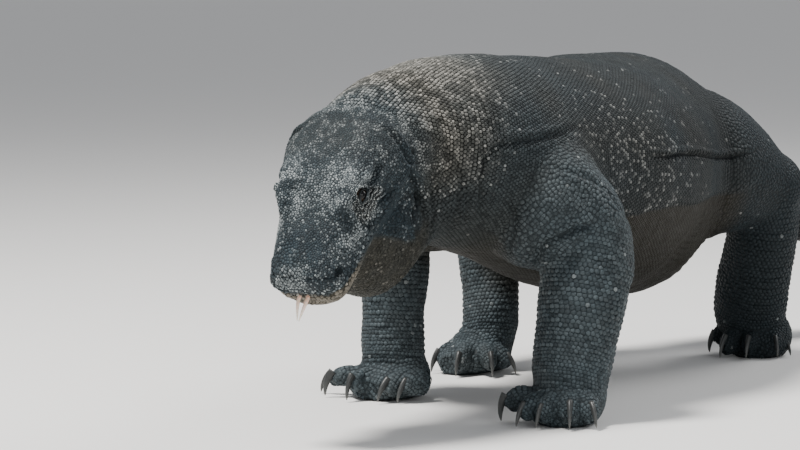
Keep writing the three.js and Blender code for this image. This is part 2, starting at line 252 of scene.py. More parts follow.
def rings(rows, s, sides, across=(0, 1, 0), place=None):
    """Rings round a line: centre + side cos w + up sin h, with h above or below the middle.
    Gives the points, and the way along the line, at each length s."""
    at = curve(rows, np.asarray(s, float))
    centre = at[:, :3]
    i = np.arange(len(centre))
    along = unit(centre[np.minimum(i + 1, i[-1])] - centre[np.maximum(i - 1, 0)])
    across = np.asarray(across, float)
    side = unit(across - along * (along @ across)[:, None])
    up = np.cross(along, side)
    angle = np.arange(sides) * 2 * np.pi / sides
    height = np.where(np.sin(angle) > 0, at[:, 4, None], at[:, -1, None]) * np.sin(angle)
    wide = at[:, 3, None] * np.cos(angle)
    points = centre[:, None] + side[:, None] * wide[..., None] + up[:, None] * height[..., None]
    if place is not None:
        points, along = place(points), place(along) - place(np.zeros(3))
    return points, along


def tube(rows, count, sides, across=(0, 1, 0), place=None):
    """The rings of a line at this many even lengths."""
    return rings(rows, np.linspace(0, lengths(rows)[-1], count), sides, across, place)[0]


# ---- The head's own frame: forward, sideways and up from its root ----
fall = math.radians(-HEAD_PITCH)
TILT = np.array([[math.cos(fall), 0, math.sin(fall)], [0, 1, 0], [-math.sin(fall), 0, math.cos(fall)]])
HEAD_AXES = turned(HEAD_YAW) @ TILT
from_head = lambda p: np.asarray(p, float) @ HEAD_AXES.T + HEAD_ROOT
to_head = lambda p: (np.asarray(p, float) - HEAD_ROOT) @ HEAD_AXES


def half_head(rows, side, sides):
    """Half of the head: sideways = sign |cos|^0.8 w and height = |sin|^0.85 h, flat at the mouth."""
    at = curve([[f, 0, 0, w, h] for f, w, h in rows], np.linspace(0, rows[-1][0] - rows[0][0], 48))
    angle = np.arange(sides) * 2 * np.pi / sides
    cos, sin = np.cos(angle), np.sin(angle)
    sideways = np.sign(cos) * np.abs(cos) ** 0.8 * at[:, 3, None]
    height = side * np.where(sin * side > 0, np.abs(sin) ** 0.85, 0) * at[:, 4, None]
    forward = np.broadcast_to(at[:, 0, None], sideways.shape)
    return from_head(np.stack([forward, sideways, height], -1))


def eye_shift():
    """How far the solids were moved from the design frame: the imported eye's box against the box
    of the same nine by six ball."""
    turn, fall = np.meshgrid(np.arange(9) * 2 * np.pi / 9, np.arange(7) * np.pi / 6)
    ball = np.stack([-np.cos(turn) * np.sin(fall), np.cos(fall), np.sin(turn) * np.sin(fall)], -1)
    points = from_head(EYE_AT + EYE_RADIUS * ball.reshape(-1, 3))
    low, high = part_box("eye_left")
    return (np.array(low) + np.array(high)) * 500 - (points.min(0) + points.max(0)) / 2


SHIFT = eye_shift()
metres = lambda p: (np.asarray(p, float) + SHIFT) / 1000


# ---- Legs ----
def bone(a, b, rows):
    """Rows [share of the way from a to b, half-thickness, half-thickness] as rows of a tube."""
    a, b = np.array(a, float), np.array(b, float)
    return [[*(a + (b - a) * share), *size] for share, *size in rows]


def upper_leg(leg):
    root, middle, end, bend = leg["upper"]
    return bone(*leg["joints"][:2], [
        [-0.2, root * 0.5, root * 0.5], [0, root * 0.9, root * 0.9],
        [0.35, middle, middle * 0.96], [0.72, end, end], [0.98, bend, bend],
        [1.16, bend * 0.72, bend * 0.74], [1.27, bend * 0.3, bend * 0.3]])


def lower_leg(leg):
    bend, calf, shin, ankle = leg["lower"]
    return bone(*leg["joints"][1:], [
        [-0.18, bend * 0.45, bend * 0.45], [-0.08, bend * 0.82, bend * 0.82],
        [0.12, bend, bend], [0.4, calf, calf * 0.96], [0.72, shin, shin * 0.95],
        [1, ankle, ankle], [1.14, ankle * 0.8, ankle * 0.8]])


def foot_place(leg):
    """From the foot's own frame, with x ahead and its sole on the floor, to the whole one."""
    axes = turned(leg["heading"])
    return lambda p: np.asarray(p, float) @ axes.T + np.array([*leg["at"], 0.0])


def palm(leg):
    length, width = leg["length"], leg["width"]
    return [
        [-length * 0.85, 0, 24, width * 0.5, 22, 30],
        [-length * 0.6, 0, 28, width * 0.85, 36, 40],
        [-length * 0.15, 0, 30, width, 42, 42],
        [length * 0.35, 0, 24, width * 1.02, 30, 36],
        [length * 0.7, 0, 20, width * 0.86, 22, 30],
        [length * 0.95, 0, 17, width * 0.5, 14, 22]]


def toe_line(leg, bearing, start):
    """Where a toe leaves the palm, and its way out and across."""
    turn = math.radians(bearing)
    way = np.array([math.cos(turn), math.sin(turn), 0])
    root = np.array([leg["length"] * 0.1, start * leg["width"], 0])
    return (lambda reach, height: root + way * reach + [0, 0, height]), (-way[1], way[0], 0)


def toe(leg, bearing, start, reach, size, lift):
    at, across = toe_line(leg, bearing, start)
    rows = [
        [*at(0, 26), 18 * size, 18 * size, 20],
        [*at(reach * 0.42, 29 + lift * 0.3), 16.5 * size, 17 * size, 24],
        [*at(reach * 0.74, 26 + lift), 14.5 * size, 15.5 * size, 23],
        [*at(reach * 0.96, 17 + lift), 12 * size, 12.5 * size, 18],
        [*at(reach * 1.07, 11 + lift), 7 * size, 6.5 * size, 11]]
    return rows, across


def claw(leg, bearing, start, reach, size, lift):
    """A claw plunges along an arc from its toe's top: out r(sin a - sin a0), and down
    r(cos a0 - cos a)."""
    at, across = toe_line(leg, bearing, start)
    radius = CLAW_LENGTH * size / CLAW_BEND
    first = CLAW_START + lift * 0.05
    rows = []
    for share in np.linspace(0, 1, 9):
        bend = first + share * CLAW_BEND
        height = max(CLAW_HEIGHT * size + lift * 0.7 - radius * (math.cos(first) - math.cos(bend)), 2.5)
        thick = CLAW_RADIUS * size * (1 - share) ** 0.7 + 0.6
        out = reach * 0.93 + lift * 0.8 + radius * (math.sin(bend) - math.sin(first))
        rows.append([*at(out, height), thick * 0.62, thick * 0.92])
    return rows, across


def leg_lines(leg):
    """The lines of a leg's upper and lower part: rows, the way across, and no own frame."""
    return [(upper_leg(leg), (1, 0, 0), None), (lower_leg(leg), (0, 1, 0), None)]


def foot_lines(leg):
    """The lines of a foot, palm first and then its toes."""
    place = foot_place(leg)
    return [(palm(leg), (0, 1, 0), place)] + [(*toe(leg, *each), place) for each in leg["toes"]]


# ---- The grid of distances ----
VOXEL = 3.5
BAND = round(60 / VOXEL)  # in voxels, as wide as the softest join
LOW = np.array([-1775.0, -345, -105]) // VOXEL
SHAPE = (np.array([845.0, 505, 590]) // VOXEL - LOW).astype(int)
distance = np.full(SHAPE, BAND * VOXEL, np.float32)
# How wide the crease is filled where a tube joins the rest.
SOFT = dict(body=1, pouch=22, skull=9, brow=10, foreleg=34, hindleg=30, shin=18, palm=14, toe=5)


def closed(grid):
    """Rings of points as a closed surface: the quads between rings, and a fan on both ends."""
    n, sides = grid.shape[:2]
    points = np.concatenate([grid.reshape(-1, 3), grid[[0, -1]].mean(axis=1)])
    j = np.arange(sides)
    start = (np.arange(n - 1) * sides)[:, None]
    quads = np.stack([start + j, start + (j + 1) % sides,
                      start + sides + (j + 1) % sides, start + sides + j], -1).reshape(-1, 4)
    end = (n - 1) * sides
    fans = np.concatenate([
        np.stack([np.full(sides, n * sides), (j + 1) % sides, j], -1),
        np.stack([np.full(sides, n * sides + 1), end + j, end + (j + 1) % sides], -1)])
    return points, quads, fans


def eight(grid, i, f):
    """The values at the eight corners of each cell i, mixed by the shares f of the way over it."""
    value = 0
    for corner in itertools.product((0, 1), repeat=3):
        weight = np.prod(np.where(corner, f, 1 - f), axis=1)
        x, y, z = ((i + corner) % grid.shape).T
        value = value + weight * grid[x, y, z]
    return value


def join(grid, softness):
    """Joins a tube to the grid: the smaller distance, less hh softness / 4 where the two are
    within softness of each other, so that the crease between them is filled."""
    points, quads, fans = closed(grid)
    level = openvdb.FloatGrid.createLevelSetFromPolygons(
        points.astype(np.float32), triangles=fans.astype(np.uint32), quads=quads.astype(np.uint32),
        transform=openvdb.createLinearTransform(voxelSize=VOXEL), halfWidth=BAND)
    low, high = (np.array(c) for c in level.evalActiveVoxelBoundingBox())
    part = np.empty(high - low + 1, np.float32)
    level.copyToArray(part, ijk=tuple(int(v) for v in low))
    start, end = (low - LOW).astype(int), (high + 1 - LOW).astype(int)
    here = distance[tuple(map(slice, start, end))]
    nearer = np.minimum(here, part)
    h = np.clip(1 - np.abs(here - part) / softness, 0, 1) * np.clip(1 - nearer / softness, 0, 1)
    here[...] = nearer - h * h * softness / 4


def read(p):
    """The distance at points, from the eight grid values round each, weighted by nearness."""
    q = p / VOXEL - LOW
    i = np.clip(np.floor(q).astype(int), 0, SHAPE - 2)
    return eight(distance, i, (q - i).astype(np.float32))


def outward(p, step=VOXEL):
    """The way out of the surface: the slope of the distance, over a step to each side."""
    slope = [read(p + step * axis) - read(p - step * axis) for axis in np.eye(3)]
    return unit(np.stack(slope, -1))


def settle(p, times=3):
    """Moves points along the slope until they lie on the hide, a coat's depth inside."""
    p = np.array(p, float)
    for _ in range(times):
        p -= outward(p, VOXEL * 0.7) * np.clip(read(p) + COAT, -12, 12)[:, None]
    return p


def build_field():
    """Joins every tube to the grid, and cuts it level a coat's depth under the floor."""
    join(tube(BODY[::-1], 220, 72), SOFT["body"])
    join(tube(POUCH[::-1], 40, 48), SOFT["pouch"])
    for rows, side in ((HEAD, 1), (JAW, -1)):
        join(half_head(rows, side, 64), SOFT["skull"])
    for side in (1, -1):
        join(tube([[f, side * a, *rest] for f, a, *rest in BROW], 16, 20, place=from_head), SOFT["brow"])
    for name, leg in LEGS.items():
        for (rows, across, _), soft in zip(leg_lines(leg), (SOFT[name[:7]], SOFT["shin"])):
            join(tube(rows, 40, 48, across), soft)
        sole, *toes = foot_lines(leg)
        join(tube(sole[0], 24, 36, *sole[1:]), SOFT["palm"])
        for rows, across, place in toes:
            join(tube(rows, 20, 24, across, place), SOFT["toe"])
    height = (np.arange(SHAPE[2]) + LOW[2]) * VOXEL
    np.maximum(distance, (-height - COAT).astype(np.float32), out=distance)


build_field()


# ---- Noise and places ----
LATTICE = rng.random((32, 32, 32)).astype(np.float32) * 2 - 1


def grain(p, size):
    """Smooth noise from -1 to 1: random numbers on a lattice of this size, eased between."""
    q = np.asarray(p) / size + 100
    i = np.floor(q).astype(int)
    f = q - i
    return eight(LATTICE, i, (f * f * (3 - 2 * f)).astype(np.float32))


BODY_TABLE = np.array(BODY[::-1], float)


def body_at(x):
    """The body's line at places along x: middle y and z, half-width, height above and depth below."""
    return [np.interp(x, BODY_TABLE[:, 0], BODY_TABLE[:, i]) for i in range(1, 6)]


def around(p):
    """How far round the body points lie, in degrees: 90 at the back's top, 0 at the sides and
    -90 under the belly, the same on both sides."""
    y, z, wide, above, below = body_at(p[:, 0])
    up = p[:, 2] - z
    return np.degrees(np.arctan2(up / np.where(up > 0, above, below), np.abs(p[:, 1] - y) / wide))


def other_side(points):
    """Points mirrored over the body's own middle."""
    points = np.array(points, float)
    points[:, 1] = 2 * body_at(points[:, 0])[0] - points[:, 1]
    return points


# ---- Folds ----
# A fold: its way over the hide, half its width, its depth, the swelling on its left and on its
# right, and 1 if the other side of the body has it too.
FOLDS = [
    # over the shoulder and back along it
    ([(389, 64, 251), (418, 72, 272), (441, 77, 294), (457, 83, 320), (459, 86, 340), (446, 91, 356),
      (427, 99, 364), (396, 108, 367), (368, 118, 368), (327, 130, 370), (278, 140, 377),
      (236, 148, 376)], 4.8, 4.8, 2.4, 0.8, 1),
    ([(366, 118, 335), (356, 132, 333), (352, 153, 329), (336, 175, 322), (316, 190, 312),
      (301, 200, 299), (287, 210, 274), (270, 210, 252)], 5.0, 2.0, 0.5, 1, 0),
    ([(338, 112, 212), (366, 138, 236), (360, 159, 245), (347, 179, 256), (330, 198, 258)], 5.0, 7, 3, 2, 0),
    # behind the jaw and down the neck
    ([(618, -4, 397), (610, 9, 392), (603, 23, 381), (593, 33, 352), (570, 34, 330), (549, 31, 310),
      (521, 28, 279), (503, 26, 245)], 4.2, 5, 4, 1, 1),
    ([(552, 34, 312), (541, 30, 299), (546, 27, 282), (541, 28, 262), (530, 28, 246)], 4.0, 9, 3, 2, 1),
    ([(548, 50, 350), (536, 51, 330), (520, 45, 300), (496, 32, 266), (480, 22, 238)], 5.0, 4, 2, 1, 1),
    ([(505, 66, 348), (492, 70, 322), (480, 66, 296), (458, 52, 262), (440, 40, 236)], 5.5, 4.5, 2, 1, 1),
    ([(484, 78, 318), (468, 76, 290), (448, 66, 262), (432, 56, 240)], 4.2, 3.5, 1.5, 1, 1),
    # along the flank, and behind the armpit
    ([(130, 178, 333), (80, 186, 332), (40, 190, 330), (-10, 195, 331), (-80, 200, 327),
      (-140, 202, 322), (-200, 196, 317), (-262, 190, 314), (-300, 180, 312), (-350, 170, 310)],
     3.6, 7, 3.5, 1, 1),
    ([(400, 96, 300), (392, 104, 270), (384, 98, 240), (366, 88, 214)], 4, 4, 1, 1, 0),
]
# The same on the head, in its own frame and on both sides: under the brow, behind the crown, the
# shelf of the brow, down the cheek, round the nose, and from the corner of the mouth. A depth
# below 0 stands out.
HEAD_FOLDS = [
    ([(93, 59, 42), (84, 61, 42), (75, 63, 42), (66, 64, 43), (58, 66, 45), (48, 68, 47)],
     5.2, 7.5, 3.0, 1.5),
    ([(14, 44, 66), (11, 54, 60), (9, 64, 48), (12, 72, 32)], 3.6, 1.0, 0.5, 0.3),
    ([(150, 38, 44), (138, 41, 51), (125, 44, 57), (113, 47, 58), (101, 49, 56), (92, 51, 55),
      (82, 54, 54), (70, 57, 52), (58, 58, 50)], 5.0, -4.5, 0, -1.0),
    ([(176, 50, 14), (160, 57, 12), (140, 62, 10), (120, 67, 6), (104, 71, 2)], 4.0, -1.6, 0, 0),
    ([(217, 2, 30), (216, 16, 29), (212, 32, 26), (206, 44, 19), (198, 52, 12)], 1.7, 1.8, 0.5, 0.5),
    ([(100, 66, 18), (86, 70, 14), (70, 75, 8), (52, 80, 2)], 3.0, 2.4, 1, 1.5),
]
# A swelling: its middle, radius and height, and 1 if the other side has it too.
SWELLINGS = [
    ((368, 96, 226), 46, 9, 1),
    ((560, 40, 330), 26, 4, 1),
    ((40, 180, 300), 120, 5, 1),
    ((-470, 128, 116), 34, 5, 0),
    ((-134, -120, 98), 30, 6, 0),
    ((300, 70, 455), 60, 5, 1),
]
# The lower edge of the flank's scales over the belly: [x, degrees round the body].
SKIRT = np.array([[-420, -6], [-260, -13], [-180, -14], [-80, -15], [30, -17], [98, -21], [170, -27],
                  [260, -34], [360, -50]])
# The left eye looks out along its own axis. The other two ways are ahead and up across it.
EYE_OUT = unit(np.array([0.16, 0.86, 0.48]))
EYE_AHEAD = unit(np.array([1.0, 0, 0]) - EYE_OUT * EYE_OUT[0])
EYE_AXES = np.stack([EYE_AHEAD, EYE_OUT, np.cross(EYE_AHEAD, EYE_OUT)])
EYE_OPENING = (9.0, 4.3)  # half its length and half its height
EYE_REACH = 42  # how far from its axis the folds round an eye go
MOST_LIFT = 14  # the most that all folds move a point
# [gap from the opening, width, depth or height] of the folds under the eye
EYE_GROOVES = [(3.6, 0.8, 1.4), (7.5, 1.3, 3.2), (12.6, 1.6, 3.0), (18.0, 1.9, 2.6), (24.0, 2.2, 1.8)]
EYE_RIDGES = [(1.5, 1.0, 1.4), (5.4, 1.2, 2.2), (10.0, 1.7, 2.8), (15.4, 2.0, 2.4), (21.0, 2.2, 1.8)]
# The same for their colours: painted light on the ridges and painted shade in the grooves.
PAINTED_LIGHT_RIDGES = [(1.6, 0.9, 1), (5.4, 1.3, 1), (10, 1.8, 1), (15.4, 2, 1), (21, 2, 1)]
PAINTED_SHADE_GROOVES = [(7.5, 1, 1), (12.6, 1.1, 1), (18, 1.3, 1)]
NOSTRIL = np.array([199.0, 44, 20])


def plan_folds():
    """Each fold as points a millimetre and a half apart on the hide, with its way and its ends
    eased out."""
    plans, found = [], []
    for points, width, depth, left, right, twin in FOLDS:
        found.append((np.array(points, float), width, depth, (left, right)))
        if twin:
            found.append((other_side(points), width, depth, (right, left)))
    for points, width, depth, left, right in HEAD_FOLDS:
        found.append((from_head(points), width, depth, (left, right)))
        found.append((from_head(np.array(points) * [1, -1, 1]), width, depth, (right, left)))
    for points, width, depth, swell in found:
        path = settle(curve(points, stations(points, 1.5)), 4)
        share = np.linspace(0, 1, len(path))
        strength = within(0, 0.22, 0.75, 1, share)
        plans.append((path, unit(np.gradient(path, axis=0)), strength, width, depth, swell))
    return plans


def in_parts(numbers, most):
    """The numbers cut in about equal parts of no more than most, to spare memory."""
    return np.array_split(numbers, math.ceil(len(numbers) / most)) if len(numbers) else []


def fold_relief(p, n):
    """For each fold: -depth exp(-dd/ww), and beside it the swellings of its two sides,
    height exp(-(d - 1.7w)^2 / (1.2w)^2), at the distance d from its line."""
    total = np.zeros(len(p))
    for path, way, strength, width, depth, swell in FOLD_PLANS:
        reach = width * 4.5
        near = np.flatnonzero(np.all((p > path.min(0) - reach) & (p < path.max(0) + reach), axis=1))
        for part in in_parts(near, 20000):
            gap = p[part, None] - path[None]
            square = np.einsum("ijk,ijk->ij", gap, gap)
            k = square.argmin(1)
            d = np.sqrt(square[np.arange(len(part)), k])
            side = dot(np.cross(n[part], way[k]), p[part] - path[k])
            lift = np.where(side > 0, *swell) * bell(d, 1.7 * width, 1.2 * width)
            total[part] += strength[k] * (lift - depth * bell(d, 0, width))
    return total


def eye_place(p, side):
    """Points seen from an eye: ahead and up across it, out along its axis, and off its axis."""
    a, out, b = ((to_head(p) * [1, side, 1] - EYE_AT) @ EYE_AXES.T).T
    return a, b, out, np.hypot(a, b)


def lid_gap(a, b):
    """How far a point is outside the opening between the lids, an almond with its corners on the
    eye's length, how far above its middle line, and from 0 to 1 whether it is under the eye."""
    half, tall = EYE_OPENING
    b = b + 0.035 * a * a - 0.6 * np.where(a < 0, -a / half, 0)
    edge = tall * np.clip(1 - (a / half) ** 2, 0, None) ** 0.8
    beyond = np.clip(np.abs(a) - half, 0, None)
    gap = np.hypot(np.abs(b) - edge * (beyond == 0), beyond) * np.where(np.abs(b) < edge, -1, 1)
    return gap, b, ease(5, -5, b - 0.7 * np.clip(a, 0, None))


mouth_gap = lambda f, u: u - 1.5 * np.sin(f / 30)


def nostril_gap(f, s, u, slant=0.0):
    """How far out of the nostril a point is, 1 on the edge of its oval."""
    q = np.stack([(f - NOSTRIL[0]) / 9, (np.abs(s) - NOSTRIL[1]) / 9, (u - NOSTRIL[2]) / 6], -1)
    q[:, 2] += q[:, 0] * slant
    return size_of(q)


def head_relief(p, head):
    """The face: lips, nostrils and the small hollows and ridges of the skull."""
    f, s, u = head.T
    flank = np.abs(s)
    near = within(-60, -30, 240, 260, f)
    slit = mouth_gap(f, u)
    lips = 2.4 * bell(slit, 6, 4.2) + 1.4 * bell(slit, -6.5, 4) - 5.5 * bell(slit, 0, 1.5)
    total = lips * ease(-6, 24, f) * near * ease(5, 20, np.maximum(flank, f - 190))
    # nostrils: an oval pit with a rim
    pit = nostril_gap(f, s, u, 0.35)
    total += 1.3 * bell(pit, 1.3, 0.3) - 6.5 * (1 - ease(0.35, 1.0, pit))
    # the snout's top: hollows behind the nose, ridges between and outside them, a hollow forehead
    total -= near * 2.8 * bell(f, 184, 15) * bell(flank, 17, 9) * ease(20, 34, u)
    total += near * 1.8 * bell(s, 0, 7) * within(150, 170, 196, 210, f) * ease(20, 34, u)
    total += near * 2.4 * bell(flank, 33, 8) * within(110, 140, 170, 192, f) * ease(20, 38, u)
    total -= near * 2.4 * bell(s, 0, 20) * within(96, 122, 140, 162, f) * ease(20, 38, u)
    # the jaw's muscle behind the eye, the hollow in front of it, and the ear's
    total += near * 3.5 * bell(f, 34, 24) * bell(u, 14, 20) * ease(30, 50, flank)
    total -= 3 * bell(f, 74, 11) * bell(u, 14, 16) * ease(40, 56, flank)
    total -= 4.5 * (1 - ease(0.5, 1.1, np.hypot((f - 8) / 8, (u - 4) / 13))) * ease(50, 66, flank)
    # the lower lip bulges on both sides of the chin
    total += near * 1.8 * bell(u, -9, 6) * ease(150, 185, f)
    # loose fine folds over the throat
    soft = ease(30, 42, -u) * within(-60, -20, 200, 215, f)
    wave = np.sin((u * 0.35 + f * 0.95) / 0.8 + 2.4 * grain(p, 26))
    return total + soft * 0.8 * wave * (0.6 + 0.6 * grain(p, 12))


def eyelids(a, b, out, r):
    """How far the hide moves out round an eye. Over the ball it lies on a dome of its own radius
    and a lid's thickness, with a raised rim, and in the opening it sinks behind the ball. Under
    the eye are grooves and ridges, and above it a groove and the brow's edge."""
    gap, level, lower = lid_gap(a, b)
    dome = np.sqrt(np.clip((EYE_RADIUS + 1.3) ** 2 - r * r, 0, None))
    target = dome + np.where(gap > 0, 0.9 * bell(gap, 1.2, 1.1), 0)
    target = np.maximum(target, out * ease(9, 13, r) + target * (1 - ease(9, 13, r)))
    rise = (target - out) * (1 - ease(9.5, 16, r)) - 7.5 * (1 - ease(-0.9, 0.5, gap))
    rise += lower * (folds_at(gap, EYE_RIDGES) - folds_at(gap, EYE_GROOVES))
    over = ease(-1, 1, level) * (1 - lower)
    return rise + over * (5.6 * bell(gap, 8.4, 2.8) * bell(a, -2, 20) - 4.2 * bell(gap, 3.2, 1.6))


def folds_at(gap, rows):
    """The sum of height exp(-tt) over rows of [place, width, height]."""
    return sum(high * bell(gap, at, width) for at, width, high in rows)


def under_skirt(p):
    """Degrees round the body from the flank's lower edge down to a point, and how far round it is."""
    degrees = around(p)
    return np.interp(p[:, 0], SKIRT[:, 0], SKIRT[:, 1]) + 1.6 * grain(p, 34) - degrees, degrees


def worked(p, n):
    """Points of the hide after all the folds. Each moves along n, but the lids move along the
    eye's own axis."""
    lift = fold_relief(p, n)
    for middle, radius, height, twin in SWELLINGS:
        for centre in [np.array(middle, float)] + ([other_side([middle])[0]] if twin else []):
            lift += height * bell(size_of(p - centre), 0, radius)
    # the flank's edge over the smooth belly
    x, z = p[:, 0], p[:, 2]
    beyond, degrees = under_skirt(p)
    trunk = within(-430, -300, 250, 340, x)
    lift += trunk * (1.5 * bell(beyond, -3, 3.5) - 4.2 * within(-1.6, 1.2, 18, 50, beyond))
    # slack and unevenness
    lift += 1.3 * grain(p, 46) + 0.5 * grain(p, 17)
    # fine upright folds on the neck and the front of the shoulder
    neck = within(380, 430, 560, 590, x) * within(-60, -30, 20, 45, degrees)
    lift += neck * 1.1 * np.sin(x / 3.1 + 2.2 * grain(p, 30))
    # creases across the legs and the wrists
    leg = within(30, 60, 215, 265, z) * ease(60, 90, np.abs(p[:, 1] - body_at(x)[0]))
    lift += leg * 0.75 * np.sin(z / 1.35 + 3.0 * grain(p, 44)) * (0.5 + 0.7 * grain(p, 30))
    head = to_head(p)
    face = np.flatnonzero((head[:, 0] > -70) & (head[:, 2] > -140) & (np.abs(head[:, 1]) < 110))
    lift[face] += head_relief(p[face], head[face])
    moved = p + n * np.clip(lift, -MOST_LIFT, MOST_LIFT)[:, None]
    for side in (1, -1):
        seen = np.stack(eye_place(moved, side))
        near = np.flatnonzero((seen[3] < EYE_REACH) & (seen[2] > -16))
        away = from_head(EYE_AXES[1] * [1, side, 1]) - from_head(np.zeros(3))
        moved[near] += away * eyelids(*seen[:, near])[:, None]
    return moved


def worked_frame(p, n, way):
    """Points on the worked hide with the way out and the way along there, from two small steps
    over it."""
    way = flattened(way, n)
    steps = (1.2 * way, 1.2 * np.cross(n, way))
    ahead, beside = (worked(p + step, n) - worked(p - step, n) for step in steps)
    out = unit(np.cross(ahead, beside))
    return worked(p, n), out * np.sign(dot(out, n))[:, None], unit(ahead)


FOLD_PLANS = plan_folds()


# ---- Writing meshes ----
def new_mesh(name, points, corners, sizes, smooth=True):
    """A mesh from points in metres, and its faces' corners with how many each face has."""
    mesh = bpy.data.meshes.new(name)
    mesh.vertices.add(len(points))
    mesh.vertices.foreach_set("co", np.asarray(points, np.float32).ravel())
    mesh.loops.add(len(corners))
    mesh.loops.foreach_set("vertex_index", np.asarray(corners, np.int32))
    starts = np.concatenate([[0], np.cumsum(sizes)[:-1]]).astype(np.int32)
    mesh.polygons.add(len(sizes))
    mesh.polygons.foreach_set("loop_start", starts)
    mesh.update(calc_edges=True)
    mesh.polygons.foreach_set("use_smooth", np.full(len(sizes), smooth))
    made = bpy.data.objects.new(name, mesh)
    bpy.context.scene.collection.objects.link(made)
    return made


def paint(piece, values):
    """The piece's marks: four numbers at each point."""
    layer = piece.data.attributes.new("marks", "FLOAT_COLOR", "POINT")
    layer.data.foreach_set("color", np.asarray(values, np.float32).ravel())


def finished(piece, look, slot, *nodes):
    """Gives a piece its material and the root body, and hides the nodes that it stands for. The slot is not
    used.
    """
    piece.data.materials.append(look)
    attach(piece, "root")
    if nodes:
        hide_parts(*nodes)
    return piece


# ---- Markings, shared by hide and scales ----
def zones(p):
    """Where a point lies, from 0 to 1 each: head, neck, belly, leg, tail and throat. Also how far
    round the body it is, and its place in the head's frame."""
    x, y, z = p.T
    f, s, u = to_head(p).T
    beyond, degrees = under_skirt(p)
    nape = np.interp(u, [-90, -58, 0, 60], [50, 33, 2, -12])
    cheek = np.interp(f, [50, 72, 85, 93, 105, 121, 141, 160], [-92, -87, -72, -54, -32, -15, -8, -2])
    cheek += 3 * grain(p, 12)
    head = ease(-16, 16, f - nape) * ease(-6, 6, u - cheek) * (1 - ease(86, 110, np.abs(s)))
    throat = ease(0, 14, cheek - u) * ease(20, 60, f) * (1 - ease(90, 120, np.abs(s)))
    throat *= ease(440, 500, x) * (1 - head)
    y_mid, z_mid, wide, above, below = body_at(x)
    out = np.hypot((y - y_mid) / wide, (z - z_mid) / np.where(z > z_mid, above, below))
    leg = ease(1.02, 1.38, out) * (1 - head) * (x > -640) * (1 - throat)
    leg *= 1 - ease(400, 430, x) * ease(120, 140, z)
    belly = within(-430, -330, 300, 420, x) * ease(-0.5, 2.5, beyond) * (1 - leg)
    neck = ease(-110, 90, x - 468 + 0.55 * (z - 336)) * ease(275, 335, z)
    neck *= (1 - head) * (1 - throat) * (1 - leg)
    return dict(head=head, neck=neck, belly=belly, leg=leg, tail=1 - ease(-520, -400, x), throat=throat,
                degrees=degrees, f=f, s=s, u=u)


